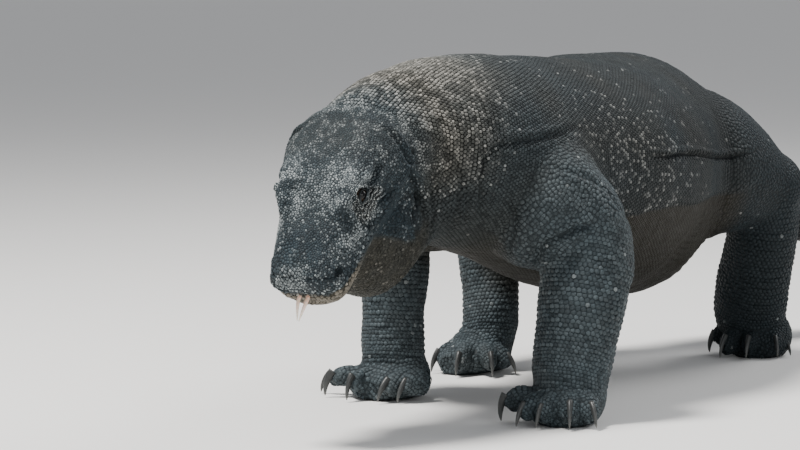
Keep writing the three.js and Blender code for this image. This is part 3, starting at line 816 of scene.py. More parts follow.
def tones(p, chance, luck):
    """Warmth, paleness and depth of tone of each scale from where it lies. Each marking moves the
    values towards its own by its weight: warmth, level of paleness, share of bright scales, how
    bright they are, and tone. chance and luck are a scale's random numbers, and a half on the hide."""
    k = zones(p)
    x, f, u, flank = p[:, 0], k["f"], k["u"], np.abs(k["s"])
    patchy, mottle = 0.5 + 0.5 * grain(p, 60), 0.5 + 0.5 * grain(p, 14)
    blotch = ease(-0.22, 0.28, grain(p, 9) + 0.35 * grain(p, 5))
    shoulders = ease(150, 330, x)
    now = [0.14 + 0.34 * patchy, 0.003 + 0.008 * mottle + 0.014 * shoulders, 0.008, 0.5,
           (0.04 + 0.20 * chance) * (1 + shoulders)]

    def lay(weight, *to):
        for i, value in enumerate(to):
            if value is not None:
                now[i] = now[i] + weight * (value - now[i])

    # flank, legs, hips, neck with its hump, whose top is paler with painted sunlight, belly and throat
    lay(bell(x, 110, 130) * bell(k["degrees"], 4, 24), None, None, 0.16, 0.48)
    lay(k["leg"], 0.06 + 0.16 * patchy, 0.03 + 0.05 * mottle, 0.006, 0.4, 0.25 + 0.6 * chance)
    lay(ease(-180, -340, x), None, 0.004, 0.003, 0.5, 0.25 * now[4])
    neck = k["neck"] ** 1.5
    olive = 0.12 + 0.45 * ease(575, 505, x) + 0.2 * patchy
    lay(neck, olive, 0.05 + 0.15 * blotch, 0.06 + 0.28 * blotch, 0.5, 0.15 + 0.6 * chance)
    # painted sunlight: the top of the neck's hump is made paler and warmer
    lay(neck * ease(20, 75, k["degrees"]) * ease(520, 430, x), 0.6, 0.20 + 0.12 * blotch, 0.2, 0.45, 0.5)
    # brown belly, made very dark with painted shade of the underside
    lay(k["belly"], 0.95, 0.0, 0.0, 0.2, 0.05 * chance)
    # olive throat, darkened with painted shade of the face's shaded side
    lay(k["throat"], 0.62 + 0.15 * mottle, 0.01, 0.03, 0.3, 0.15 + 0.5 * chance)
    # head: its ground, then crown, brow and cheek (paler with painted sunlight and painted glints besides
    # pale scales), nose, the hollow behind it, temple (darker with painted shade) and lips
    head = k["head"]
    speckled = 0.55 + 0.9 * grain(p, 16) + 0.5 * grain(p, 6)
    lay(head, 0.1 * mottle, 0.02, 0.12 * (0.3 + 1.2 * mottle), 0.5, 0.04 + 0.44 * chance)
    lay(head * ease(74, 34, f) * ease(16, 44, u), 0.22, 0.01 + 0.08 * blotch, 0.02 + 0.17 * blotch, 0.45,
        0.12 + 0.5 * chance)
    # the lit brow: pale scales with painted glints and painted sunlight
    brow = np.clip(1.5 * speckled * bell(f, 104, 36) * ease(26, 48, u), 0, 1)
    lay(head * brow * (0.35 + 0.65 * ease(2, 26, flank)), 0.10, 0.27, 0.42, 0.8, 0.35 + 0.5 * chance)
    # the lit cheek: pale scales with painted glints and painted sunlight
    cheek = np.clip(1.5 * speckled * bell(f, 136, 34) * bell(u, 22, 19) * ease(24, 40, flank), 0, 1)
    lay(head * cheek, 0.12, 0.24, 0.45, 0.85, 0.3 + 0.5 * chance)
    nose = ease(196, 212, f) * ease(2, 8, u) * np.clip(1.3 * speckled, 0, 1)
    lay(head * nose, 0.10, 0.14, 0.45, 0.8, 0.2 + 0.5 * chance)
    hollow = np.clip(1.5 * bell(f, 186, 15) * bell(flank, 16, 9) * ease(20, 34, u), 0, 1)
    lay(head * hollow, 0.0, 0.01, 0.05, 0.3, 0.25 + 0.4 * chance)
    # the temple: fewer pale specks and a darker tone, painted shade of the face's side
    temple = np.clip(1.4 * bell(f, 84, 30) * bell(u, -22, 40) * ease(40, 56, flank), 0, 1)
    lay(head * temple * ease(52, 30, u), 0.0, 0.0, 0.03, 0.3, 0.06 + 0.42 * chance)
    lips = ease(150, 185, f) * ease(1, -3, u) * ease(-60, -40, u)
    lay(lips, 0.9, 0.16 + 0.14 * mottle, 0.02, 0.4, 0.6 + 0.3 * chance)
    # round the eye: pale skin under it, partly painted light, the brow's edge with a painted highlight, the
    # socket under the brow darkened with painted shade, and the folds with painted light on their ridges and
    # painted shade in their grooves
    for side in (1, -1):
        a, b, out, r = eye_place(p, side)
        gap, level, lower = lid_gap(a, b)
        near = (out > -16) * (1 - ease(26, 40, r))
        under, over = near * lower, near * (1 - lower)
        # pale skin under the eye: partly pale scales, partly painted light on the lit cheek
        lay(under * ease(-16, 2, a), 0.20, 0.38, 0.40, 0.8, 0.4 + 0.5 * chance)
        # painted highlight along the brow's edge over the eye
        edge = over * ease(-1, 1, level) * bell(gap, 9, 5.4) * bell(a, -1, 20)
        lay(np.clip(1.5 * edge, 0, 1), 0.15, 0.95, 0.3, 0.4, 0.9)
        # painted shade in the socket under the brow
        lay(over * bell(gap, 2.6, 1.5), 0.6, 0.0, 0.0, 0.2, 0.1)
        # painted light on the ridges under the eye, and painted shade in its grooves
        lay(under * np.clip(folds_at(gap, PAINTED_LIGHT_RIDGES), 0, 1), 0.28, 0.78, 0.1, 0.3, 0.8)
        lay(under * np.clip(folds_at(gap, PAINTED_SHADE_GROOVES), 0, 1), 0.5, 0.06, 0.05, 0.3, 0.25)
    warm, level, share, bright, tone = now
    spot = np.clip(1 - luck / np.maximum(2.2 * share, 1e-6), 0, 1)
    pale = level * (0.6 + 0.8 * chance) + bright * spot ** 0.7 * (0.5 + 0.5 * chance)
    return [np.clip(value, 0, 1) for value in (warm, pale, tone)]


# ---- The hide ----
HIDE_TRIANGLES = 190000
in_face = lambda f, s, u: (f > -60) & (u > -140) & (np.abs(s) < 105)


def split(points, quads, chosen):
    """Cuts the chosen quads in four at the middles of their edges. A neighbour of theirs gets the
    middle as one more corner. Gives points, quads, and the many-cornered faces' corners and sizes."""
    pair = np.sort(np.stack([quads, np.roll(quads, -1, axis=1)], -1).reshape(-1, 2), axis=1)
    edges, which = np.unique(pair[:, 0].astype(np.int64) * len(points) + pair[:, 1], return_inverse=True)
    which = which.reshape(-1, 4)
    is_cut = np.zeros(len(edges), bool)
    is_cut[which[chosen].ravel()] = True
    mid = (np.cumsum(is_cut) - 1 + len(points))[which]
    a, b = edges[is_cut] // len(points), edges[is_cut] % len(points)
    centre = len(points) + len(a) + np.arange(chosen.sum())
    four = np.stack([quads[chosen], mid[chosen], np.broadcast_to(centre[:, None], (len(centre), 4)),
                     np.roll(mid, 1, axis=1)[chosen]], -1)
    points = np.concatenate([points, (points[a] + points[b]) / 2, points[quads[chosen]].mean(1)])
    cut = is_cut[which]
    whole, odd = ~chosen & ~cut.any(1), ~chosen & cut.any(1)
    slots = np.stack([quads[odd], np.where(cut[odd], mid[odd], -1)], -1).reshape(-1, 8)
    quads = np.concatenate([quads[whole], four.reshape(-1, 4)])
    return points, quads, slots[slots >= 0], (slots >= 0).sum(1)


def build_hide():
    """The grid's surface a coat's depth inside, with its quads cut in four over the face, and again
    round the eyes, nose and lips. Gives points, their way out, and the faces."""
    grid = openvdb.FloatGrid()
    grid.transform = openvdb.createLinearTransform(voxelSize=VOXEL)
    grid.copyFromArray(distance, ijk=tuple(int(v) for v in LOW))
    points, quads = grid.convertToQuads(isovalue=-COAT)
    points, quads = points.astype(float), quads.astype(np.int64)
    corners, sizes = [], []
    for level in range(2):
        f, s, u = to_head(points[quads].mean(1)).T
        if level == 0:
            chosen = in_face(f, s, u) & (f < 240)
        else:
            chosen = (np.hypot(f - EYE_AT[0] + 2, u - EYE_AT[2] + 4) < 30) & (np.abs(s) > 36)
            chosen |= (f > 176) & (u > -20) & (np.hypot(f - NOSTRIL[0], u - NOSTRIL[2]) < 20)
            chosen |= (np.abs(u) < 7) & (f > 20) & (f < 222)
        points, quads, odd, counts = split(points, quads, chosen)
        corners.append(odd)
        sizes.append(counts)
        points = settle(points, 1) if level == 0 else points
    points = settle(points, 2)
    corners = np.concatenate([quads.ravel(), *corners])
    sizes = np.concatenate([np.full(len(quads), 4), *sizes])
    return points, outward(points, VOXEL), corners, sizes


def thin_out(piece, spared, target):
    """Merges the flattest faces until target triangles are left, and spares some points."""
    mesh = piece.data
    mesh.calc_loop_triangles()
    count = len(mesh.loop_triangles)
    if count <= target:
        return
    group = piece.vertex_groups.new(name="thin")
    group.add(np.flatnonzero(spared).tolist(), 0.0, "REPLACE")
    group.add(np.flatnonzero(~spared).tolist(), 1.0, "REPLACE")
    thin = piece.modifiers.new("thin", "DECIMATE")
    thin.ratio = target / count
    thin.vertex_group = group.name
    bpy.context.view_layer.update()
    made = piece.evaluated_get(bpy.context.evaluated_depsgraph_get())
    piece.data = bpy.data.meshes.new_from_object(made)
    piece.modifiers.clear()
    piece.vertex_groups.clear()
    bpy.data.meshes.remove(mesh)
    piece.data.polygons.foreach_set("use_smooth", np.ones(len(piece.data.polygons), bool))


settled, hide_out, corners, sizes = build_hide()
hide = new_mesh("hide", metres(worked(settled, hide_out)), corners, sizes)
half = np.full(len(settled), 0.5)
paint(hide, np.stack([*tones(settled, half, half), half * 0], -1))
ahead_of_neck, _, over_jaw = to_head(settled).T
thin_out(hide, (ahead_of_neck > 0) & (over_jaw > -50), HIDE_TRIANGLES)

# ---- Where the scales stand ----
COARSE = 1.0
LAST_ROW = 572  # rows of scales ring the body up to here, under the head
DEEPEST = -9  # a row's scale further inside the rest of the body is left out
CROWDING = 0.46  # share of two beads' pitches that they keep from each other
PALM_SCALE, TOE_SCALE = (5.2, 5.4), (4.6, 6.0)  # length and width
SHIN_PITCH = [0.1, 0.3, 0.6, 0.85, 1.0], [4.6, 5.6, 6.0, 4.8, 4.4]  # by share of the lower leg


def pairs(a, b, reach):
    """All pairs of points of a and b nearer than reach, by cells of that size."""
    low = b.min(0) - 2 * reach
    cell = lambda p: np.floor((p - low) / reach).astype(np.int64)
    key = lambda c: (c[:, 0] * 100000 + c[:, 1]) * 100000 + c[:, 2]
    order = np.argsort(key(cell(b)), kind="stable")
    keys = key(cell(b))[order]
    found = []
    for offset in itertools.product((-1, 0, 1), repeat=3):
        wanted = key(cell(a) + offset)
        start, end = np.searchsorted(keys, wanted, "left"), np.searchsorted(keys, wanted, "right")
        count = end - start
        i = np.repeat(np.arange(len(a)), count)
        j = order[np.repeat(start - np.cumsum(count) + count, count) + np.arange(count.sum())]
        d = size_of(a[i] - b[j])
        near = d < reach
        found.append((i[near], j[near], d[near]))
    return [np.concatenate(part) for part in zip(*found)]


def scatter(points, pitch, taken, taken_pitch, rounds=7):
    """Picks points that keep their pitch from each other and from those taken: in each round
    the one with the highest random number of its neighbourhood stays."""
    left = np.arange(len(points))
    if len(taken):
        i, j, d = pairs(points, taken, 9.0)
        close = d < CROWDING * (pitch[i] + taken_pitch[j])
        left = np.setdiff1d(left, i[close])
    picked = []
    for _ in range(rounds):
        if not len(left):
            break
        rank = rng.random(len(left))
        i, j, d = pairs(points[left], points[left], 7.0)
        clash = (d < CROWDING * (pitch[left][i] + pitch[left][j])) & (i != j)
        i, j = i[clash], j[clash]
        rival = np.full(len(left), -1.0)
        np.maximum.at(rival, i, rank[j])
        won = rank > rival
        picked.append(left[won])
        lost = np.zeros(len(left), bool)
        lost[i[won[j]]] = True
        left = left[~won & ~lost]
    return np.concatenate(picked)


def ring_rows(rows, s, pitch_across, lie=1, across=(0, 1, 0), place=None, sides=96):
    """Rows of scales on rings: each ring's scales stand an equal share of its length apart, and
    half a scale on from the ring before. Gives points, ways, and their length and width."""
    grid, along = rings(rows, s, sides, across, place)
    points, ways, long, wide = [], [], [], []
    gaps = np.gradient(s)
    for i, ring in enumerate(grid):
        loop = np.concatenate([ring, ring[:1]])
        run = lengths(loop)
        count = max(5, round(run[-1] / pitch_across(s[i])))
        t = (np.arange(count) + 0.5 * (i % 2) + rng.normal(0, 0.06, count)) / count % 1
        spot = np.stack([np.interp(t * run[-1], run, loop[:, axis]) for axis in range(3)], -1)
        spot += along[i] * gaps[i] * rng.normal(0, 0.06, (count, 1))
        points.append(spot)
        ways.append(np.broadcast_to(along[i] * lie, spot.shape))
        long.append(np.full(count, gaps[i] * 1.12))
        wide.append(np.full(count, run[-1] / count))
    return [np.concatenate(part) for part in (points, ways, long, wide)]


def body_pitch(x):
    """The scales' pitch on the body: widest on the tail, closest on the trunk."""
    return np.interp(x, [-1650, -1200, -700, -420, -150, 150, 330, 460, 560],
                     [4.5, 6.4, 7.2, 6.4, 5.4, 5.2, 5.2, 5.3, 5.2])


def lay_coat():
    """All the row scales of body, legs, feet and toes as one table: place, way, length, width,
    how deep they lie in the hide, and which strip they belong to."""
    strips = []
    rows = BODY[::-1]
    knots = lengths(rows)
    x_at = lambda s: float(np.interp(s, knots, [r[0] for r in rows]))
    s = stations(rows, lambda s: body_pitch(x_at(s)) * 0.9 * COARSE)
    s = s[[x_at(v) < LAST_ROW for v in s]]
    strips.append(ring_rows(rows, s, lambda v: body_pitch(x_at(v)) * COARSE, -1, sides=160))
    for leg in LEGS.values():
        line = lower_leg(leg)
        end = lengths(line)[-1]
        size = lambda v: float(np.interp(v / end, *SHIN_PITCH)) * COARSE
        strips.append(ring_rows(line, stations(line, size), lambda v: size(v) * 1.25))
        for number, (rows, across, place) in enumerate(foot_lines(leg)):
            long, wide = TOE_SCALE if number else PALM_SCALE
            s = stations(rows, long * COARSE)
            strips.append(ring_rows(rows, s, lambda v: wide * COARSE, 1, across, place))
    table = []
    for number, (points, ways, long, wide) in enumerate(strips):
        buried = read(points)
        strip = np.full(len(points), number)
        table.append(np.column_stack([points, ways, long, wide, buried, strip])[buried > DEEPEST])
    return np.concatenate(table)


def bare_places(p, n):
    """Where no scale stands: soles, eye openings, nostrils and the slit of the mouth."""
    f, s, u = to_head(p).T
    bare = (p[:, 2] < 4) & (n[:, 2] < -0.5)
    bare |= (np.abs(mouth_gap(f, u)) < 1.3) & (f > 18) & (f < 230)
    bare |= nostril_gap(f, s, u) < 0.9
    for side in (1, -1):
        a, b, out, r = eye_place(p, side)
        bare |= (lid_gap(a, b)[0] < 2.2) & (out > -12) & (r < 20)
    return bare


def face_pitch(f, s, u):
    """The beads' pitch on the face: smallest round the eyes, larger on the nose and the lips."""
    eye = np.hypot(f - EYE_AT[0], u - EYE_AT[2])
    pitch = 2.6 + 1.4 * ease(168, 188, f) * ease(10, 25, u) * ease(-2, 8, -s)
    pitch = pitch - 1.2 * (1 - ease(15, 30, eye)) * (np.abs(s) > 35)
    pitch = np.where((np.abs(u) < 9) & (f > 20) & (eye > 30), 4.0, pitch)
    return pitch + 0.5 * ease(30, 45, -u) + 1.0 * ease(150, 185, f) * ease(2, -4, u)


def cells(p, n, way, size):
    """Each scale's six corners, sideways and along. In each sixth of the turn an edge stands
    between the scale and its nearest neighbour, nearer to the smaller one, and a corner is where
    two edges cross: (h sin b - k sin a, k cos a - h cos b) / sin(b - a), for edges at distances
    h and k across the ways a and b."""
    way = flattened(way, n)
    side = np.cross(n, way)
    i, j, d = pairs(p, p, 11.0)
    other = i != j
    i, j, d = i[other], j[other], d[other]
    gap = p[j] - p[i]
    angle = np.arctan2(dot(gap, way[i]), dot(gap, side[i]))
    sixth = np.round(angle / (np.pi / 3)).astype(int)
    slot = i * 6 + sixth % 6
    reach = d * size[i] / (size[i] + size[j])
    order = np.lexsort((reach, slot))
    slots, first = np.unique(slot[order], return_index=True)
    chosen = order[first]
    edge = np.repeat(size * 0.62, 6)
    edge[slots] = np.minimum(edge[slots], reach[chosen])
    lean = np.zeros(len(edge))
    lean[slots] = np.clip(angle[chosen] - sixth[chosen] * np.pi / 3, -0.35, 0.35)
    turn = lean.reshape(-1, 6) + np.arange(6) * np.pi / 3
    edge = edge.reshape(-1, 6)
    after, beyond = np.roll(turn, -1, 1), np.roll(edge, -1, 1)
    corner = np.stack([edge * np.sin(after) - beyond * np.sin(turn),
                       beyond * np.cos(turn) - edge * np.cos(after)], -1) / np.sin(after - turn)[..., None]
    return corner * np.minimum(1, 0.8 * size[:, None] / np.maximum(size_of(corner), 1e-6))[..., None]


def stand_scales():
    """All scales: place, way out, way they lie, size and corners. Rows come first, without those
    on the face and those that crowd a scale which is less deep in the body. Beads take the rest."""
    table = lay_coat()
    p, ways, long, wide, strip = settle(table[:, :3]), table[:, 3:6], table[:, 6], table[:, 7], table[:, 9]
    n = outward(p)
    radius = 0.5 * np.sqrt(long * wide)
    f, s, u = to_head(p).T
    keep = ~bare_places(p, n) & ~((f > -34) & (u > -60) & (np.abs(s) < 100))
    rank = table[:, 8] + rng.random(len(p))
    i, j, d = pairs(p, p, 9.0)
    room = np.where(strip[i] == strip[j], 0.62, 0.82) * (radius[i] + radius[j])
    keep[i[(d < room) & (rank[j] > rank[i]) & keep[j] & (i != j)]] = False
    p, n, ways, size = p[keep], n[keep], ways[keep], 2 * radius[keep]
    # beads over the face, the throat and all that the rows left bare
    f, s, u = to_head(settled).T
    x = settled[:, 0]
    face = in_face(f, s, u) & (x > 440)
    on_leg = zones(settled)["leg"]
    pitch = np.where(face, face_pitch(f, s, u), body_pitch(x) * (1 - on_leg) + 4.3 * on_leg) * COARSE
    spots = np.flatnonzero(~bare_places(settled, hide_out))
    picked = spots[scatter(settled[spots], pitch[spots], p, 0.97 * size)]
    new = settled[picked]
    # a bead on the face lies back, and any other lies as the nearest scale of a row does
    lie = np.tile(-HEAD_AXES[:, 0], (len(new), 1))
    i, j, d = pairs(new, p, 12.0)
    nearest = np.full(len(new), 1e9)
    np.minimum.at(nearest, i, d)
    first = (d <= nearest[i]) & ~face[picked][i]
    lie[i[first]] = ways[j[first]]
    p, n, ways = np.concatenate([p, new]), np.concatenate([n, hide_out[picked]]), np.concatenate([ways, lie])
    size = np.concatenate([size, 1.08 * pitch[picked]])
    return p, n, ways, size, cells(p, n, ways, size)


# ---- Scales ----
DOME_FACES = np.array([[k, (k + 1) % 6, 6 + (k + 1) % 6, 6 + k] for k in range(6)])
DOME_CORNERS = np.concatenate([DOME_FACES.ravel(), np.arange(6, 12), np.arange(6)[::-1]])
DOME_SIZES = np.array([4] * 6 + [6, 6])
CELL_SHARE = 0.97  # of its cell that a scale fills, each way
ROOT = 0.45  # how deep a scale stands in the hide
UNWRAPPED = 0.0015  # half a scale's size on the unwrapped hide


def unwrap(p, lines):
    """Each scale's place on the unwrapped hide: the share of the length along its nearest line,
    and the share of the turn round it, in one band for each line."""
    best = np.full(len(p), 1e9)
    spot = np.zeros((len(p), 2))
    for band, (rows, across, place) in enumerate(lines):
        run = np.linspace(0, lengths(rows)[-1], 120)
        grid, along = rings(rows, run, 4, across, place)
        centre = grid.mean(1)
        side = unit(grid[:, 0] - grid[:, 2])
        up = np.cross(along, side)
        radius = size_of(grid - centre[:, None]).mean(1)
        for part in in_parts(np.arange(len(p)), 4000):
            gap = size_of(p[part, None] - centre[None])
            k = gap.argmin(1)
            score = gap[np.arange(len(part)), k] / radius[k]
            arm = p[part] - centre[k]
            turn = np.arctan2(dot(arm, up[k]), dot(arm, side[k])) / (2 * np.pi) + 0.5
            share = (run[k] + np.clip(dot(arm, along[k]), -4, 4)) / run[-1]
            here = np.stack([0.01 + 0.98 * np.clip(share, 0, 1),
                             (band + 0.01 + 0.98 * turn) / len(lines)], -1)
            better = score < best[part]
            best[part] = np.where(better, score, best[part])
            spot[part] = np.where(better[:, None], here, spot[part])
    return spot


def coat_piece(name, scales, lines, slot):
    """One piece of the coat. Each scale: six corners in the hide and six on its crown, which is
    smaller, higher and a little towards the way it lies."""
    p, n, way, size, cell = scales
    count = len(p)
    chance, luck = rng.random(count), rng.random(count)
    here, out, along = worked_frame(p, n, way)
    side = np.cross(out, along)
    warm, pale, tone = tones(p, chance, luck)
    k = zones(p)
    head, neck, leg, soft = k["head"], k["neck"], k["leg"], np.clip(k["belly"] + k["throat"], 0, 1)
    plain = (1 - neck) * (1 - head)
    eyes = [eye_place(p, mirror) for mirror in (1, -1)]
    at_eye = np.maximum(*((1 - ease(14, 24, r)) * (off > -14) for _, _, off, r in eyes))
    high = 0.75 + 0.7 * neck + 0.6 * k["tail"] + 0.05 * head
    high = high - 0.5 * k["belly"] - 0.4 * k["throat"] - 0.2 * leg
    high *= np.clip(size / 5, 0.5, 1.1) * (0.75 + 0.5 * chance) * (1 - 0.5 * at_eye)
    crown = 0.74 + 0.08 * leg + 0.12 * soft - 0.06 * neck - (0.1 + 0.24 * plain) * ease(0.3, 0.6, pale)
    crown = crown[:, None] * (1 + rng.normal(0, 0.05, (count, 6)))
    spread = lambda share, on: (
        side[:, None] * (cell[..., 0] * CELL_SHARE * share)[..., None]
        + along[:, None] * (cell[..., 1] * CELL_SHARE * share + on)[..., None])
    base = here[:, None] + spread(1, 0) - out[:, None] * ROOT
    top = here[:, None] + spread(crown, 0.05 * size[:, None]) + (out * high[:, None])[:, None]
    points = np.concatenate([base, top], axis=1).reshape(-1, 3)
    corners = (np.arange(count)[:, None] * 12 + DOME_CORNERS).ravel()
    piece = new_mesh(name, metres(points), corners, np.tile(DOME_SIZES, count))
    # the tip mark at a scale's foot: the lower it is, the more painted shade darkens the scale's lower sides
    rim = np.clip(0.35 * head + 0.6 * soft + 0.3 * plain + 0.2 * neck, 0, 1)
    tip = np.repeat(np.stack([rim, np.ones(count)], 1), 6, axis=1)
    paint(piece, np.stack([*(np.repeat(mark, 12) for mark in (warm, pale, tone)), tip.ravel()], -1))
    spot = unwrap(p, lines)[:, None]
    ring = cell * (UNWRAPPED / np.abs(cell).max((1, 2)))[:, None, None]
    loops = (np.concatenate([ring, ring * crown[..., None]], axis=1) + spot)[:, DOME_CORNERS]
    loops[:, -6:] = spot
    layer = piece.data.uv_layers.new(name="OFBake")
    layer.data.foreach_set("uv", loops.astype(np.float32).ravel())
    return finished(piece, COAT_HIDE, slot)


# ---- Materials ----
def link(tree, source, target):
    tree.links.new(source, target)


def group(name, inputs, outputs):
    """An empty shader group with named sockets. inputs and outputs are (name, kind, default)."""
    tree = bpy.data.node_groups.new(name, "ShaderNodeTree")
    kinds = {"value": "NodeSocketFloat", "colour": "NodeSocketColor", "vector": "NodeSocketVector"}
    for way, sockets in (("INPUT", inputs), ("OUTPUT", outputs)):
        for label, kind, *default in sockets:
            socket = tree.interface.new_socket(name=label, in_out=way, socket_type=kinds[kind])
            if default:
                socket.default_value = default[0]
    return tree, tree.nodes.new("NodeGroupInput"), tree.nodes.new("NodeGroupOutput")


def fill(tree, sockets, values):
    """Gives each socket its value: another socket, a number, or the three numbers of a colour."""
    for socket, value in zip(sockets, values):
        if isinstance(value, bpy.types.NodeSocket):
            link(tree, value, socket)
        elif value is not None:
            socket.default_value = (*value, 1) if isinstance(value, tuple) else value


def maths(tree, kind, a, b=None, plus=None, clamp=False):
    """a kind b, where each is a socket or a number, and plus a third one."""
    node = tree.nodes.new("ShaderNodeMath")
    node.operation = kind
    node.use_clamp = clamp
    fill(tree, node.inputs, (a, b, plus))
    return node.outputs[0]


def mixed(tree, factor, a, b, blend="MIX"):
    """Colours a and b mixed by factor, where each is a socket or three numbers."""
    node = tree.nodes.new("ShaderNodeMix")
    node.data_type = "RGBA"
    node.blend_type = blend
    fill(tree, (node.inputs[0], node.inputs[6], node.inputs[7]), (factor, a, b))
    return node.outputs[2]


def noise(tree, vector, scale, detail=2.0, rough=0.5):
    """Soft noise from 0 to 1, with this many patches to the metre."""
    node = tree.nodes.new("ShaderNodeTexNoise")
    fill(tree, [node.inputs[name] for name in ("Vector", "Scale", "Detail", "Roughness")],
         (vector, scale, detail, rough))
    return node.outputs["Fac"]


def span(tree, value, low, high, to_low=0.0, to_high=1.0):
    """A value between low and high eased to between two others."""
    node = tree.nodes.new("ShaderNodeMapRange")
    node.interpolation_type = "SMOOTHSTEP"
    fill(tree, node.inputs[:5], (value, low, high, to_low, to_high))
    return node.outputs[0]


SLATE_DARK, SLATE_LIGHT = (0.008, 0.014, 0.018), (0.043, 0.066, 0.080)
EARTH_DARK, EARTH_LIGHT = (0.014, 0.012, 0.007), (0.070, 0.059, 0.038)
BONE_COOL, BONE_WARM = (0.49, 0.54, 0.55), (0.60, 0.53, 0.44)
GAP_SHADE = (0.007, 0.007, 0.007)


def hide_colour_group():
    """The animal's colour from its marks: slate or earth by warmth, bone tips by paleness, which on the
    head's beads are partly painted glints, painted shade down each scale's sides into the dark between the
    scales, and a mottle of two sizes over all."""
    tree, start, end = group(
        "hide_colour",
        [("Place", "vector"), ("Warm", "value", 0.3), ("Pale", "value", 0.2), ("Chance", "value", 0.5),
         ("Tip", "value", 0.5)],
        [("Color", "colour"), ("Roughness", "value"), ("Height", "value")])
    place, warm, pale, chance, tip = start.outputs[:5]
    wide = noise(tree, place, 9.0, 3.0, 0.6)
    fine = noise(tree, place, 70.0, 2.0, 0.6)
    tiny = noise(tree, place, 900.0, 2.0, 0.6)
    tone = maths(tree, "MULTIPLY", chance, maths(tree, "MULTIPLY_ADD", fine, 1.2, plus=0.55), clamp=True)
    slate = mixed(tree, tone, SLATE_DARK, SLATE_LIGHT)
    earth = mixed(tree, tone, EARTH_DARK, EARTH_LIGHT)
    base = mixed(tree, warm, slate, earth)
    base = mixed(tree, span(tree, wide, 0.3, 0.7, 0.0, 0.5), base, (0.5, 0.5, 0.5), "OVERLAY")
    # pale crown tops: pale scales, and on the head's beads partly painted glints
    pale_and_glint = maths(tree, "MULTIPLY", pale, span(tree, tiny, 0.3, 0.65, 1.15, 0.55), clamp=True)
    # painted shade: each scale's sides darken from its crown down into the gap between scales
    rim = mixed(tree, 0.55, base, GAP_SHADE)
    colour = mixed(tree, span(tree, tip, 0.0, 0.7), rim, base)
    bone = mixed(tree, warm, BONE_COOL, BONE_WARM)
    colour = mixed(tree, maths(tree, "MULTIPLY", pale_and_glint, span(tree, tip, 0.3, 0.95)), colour, bone)
    colour = mixed(tree, span(tree, tiny, 0.3, 0.7, 0.0, 0.25), colour, GAP_SHADE)
    link(tree, colour, end.inputs["Color"])
    rough = maths(tree, "ADD", span(tree, fine, 0.2, 0.8, 0.5, 0.66), maths(tree, "MULTIPLY", pale, 0.14))
    link(tree, rough, end.inputs["Roughness"])
    link(tree, maths(tree, "ADD", tiny, maths(tree, "MULTIPLY", fine, 0.6)), end.inputs["Height"])
    return tree


def material(name, **settings):
    """A material with plain numbers on its shader's own sockets."""
    made = bpy.data.materials.new(name)
    made.use_nodes = True
    shader = made.node_tree.nodes["Principled BSDF"]
    for socket, value in settings.items():
        shader.inputs[socket.replace("_", " ")].default_value = value
    return made, made.node_tree, shader


def object_place(tree):
    return tree.nodes.new("ShaderNodeTexCoord").outputs["Object"]


def marks_of(tree):
    """The piece's four marks as sockets."""
    marks = tree.nodes.new("ShaderNodeAttribute")
    marks.attribute_name = "marks"
    parts = tree.nodes.new("ShaderNodeSeparateColor")
    link(tree, marks.outputs["Color"], parts.inputs[0])
    return [*parts.outputs, marks.outputs["Alpha"]]


def bumped(tree, shader, height, depth, strength):
    """Gives the shader its normal from a height in shares of the depth."""
    node = tree.nodes.new("ShaderNodeBump")
    fill(tree, [node.inputs[name] for name in ("Distance", "Strength", "Height")], (depth, strength, height))
    link(tree, node.outputs["Normal"], shader.inputs["Normal"])


HIDE_COLOUR = hide_colour_group()


def hide_material(name, tip=None, **settings):
    """Skin or scales. tip is the height of the granules of a skin that has no scales' crowns."""
    made, tree, shader = material(name, **settings)
    *marks, crown = marks_of(tree)
    colour = tree.nodes.new("ShaderNodeGroup")
    colour.node_tree = HIDE_COLOUR
    place = object_place(tree)
    height, depth = colour.outputs["Height"], 0.0003
    if tip:
        grains = tree.nodes.new("ShaderNodeTexVoronoi")
        grains.inputs["Scale"].default_value = 420
        link(tree, place, grains.inputs["Vector"])
        # painted shade between the granules of bare skin, through the tip mark
        rounded = span(tree, grains.outputs["Distance"], 0.1, 0.75, 1.0, 0.0)
        crown = maths(tree, "MULTIPLY", rounded, tip)
        height, depth = maths(tree, "ADD", rounded, maths(tree, "MULTIPLY", height, 0.3)), 0.0007
    fill(tree, colour.inputs, (place, *marks, crown))
    link(tree, colour.outputs["Color"], shader.inputs["Base Color"])
    link(tree, colour.outputs["Roughness"], shader.inputs["Roughness"])
    bumped(tree, shader, height, depth, 0.7)
    return made


COAT_HIDE = hide_material("scale_horn", Specular_IOR_Level=0.16)
BARE_HIDE = hide_material("bare_hide", tip=0.55, Specular_IOR_Level=0.15)


def ramp(tree, value, stops):
    """A colour by value, from [place, colour] stops."""
    node = tree.nodes.new("ShaderNodeValToRGB")
    marks = node.color_ramp.elements
    while len(marks) < len(stops):
        marks.new(0.5)
    for mark, (spot, colour) in zip(marks, stops):
        mark.position = spot
        mark.color = (*colour, 1)
    link(tree, value, node.inputs[0])
    return node.outputs[0]


def streaked(name, grains, amount, stops, rough=None, depth=None, **settings):
    """A material whose colour goes by the piece's first mark + (wave - 0.5) amount, from [place,
    colour] stops. The wave is noise of this scale, detail and roughness. It also moves the
    roughness between two numbers, and makes a bump of this depth."""
    made, tree, shader = material(name, **settings)
    wave = noise(tree, object_place(tree), *grains)
    sway = maths(tree, "MULTIPLY", maths(tree, "SUBTRACT", wave, 0.5), amount)
    spot = maths(tree, "ADD", marks_of(tree)[0], sway, clamp=True)
    link(tree, ramp(tree, spot, stops), shader.inputs["Base Color"])
    if rough:
        link(tree, span(tree, wave, 0.2, 0.8, *rough), shader.inputs["Roughness"])
    if depth:
        bumped(tree, shader, wave, depth, 0.5)
    return made


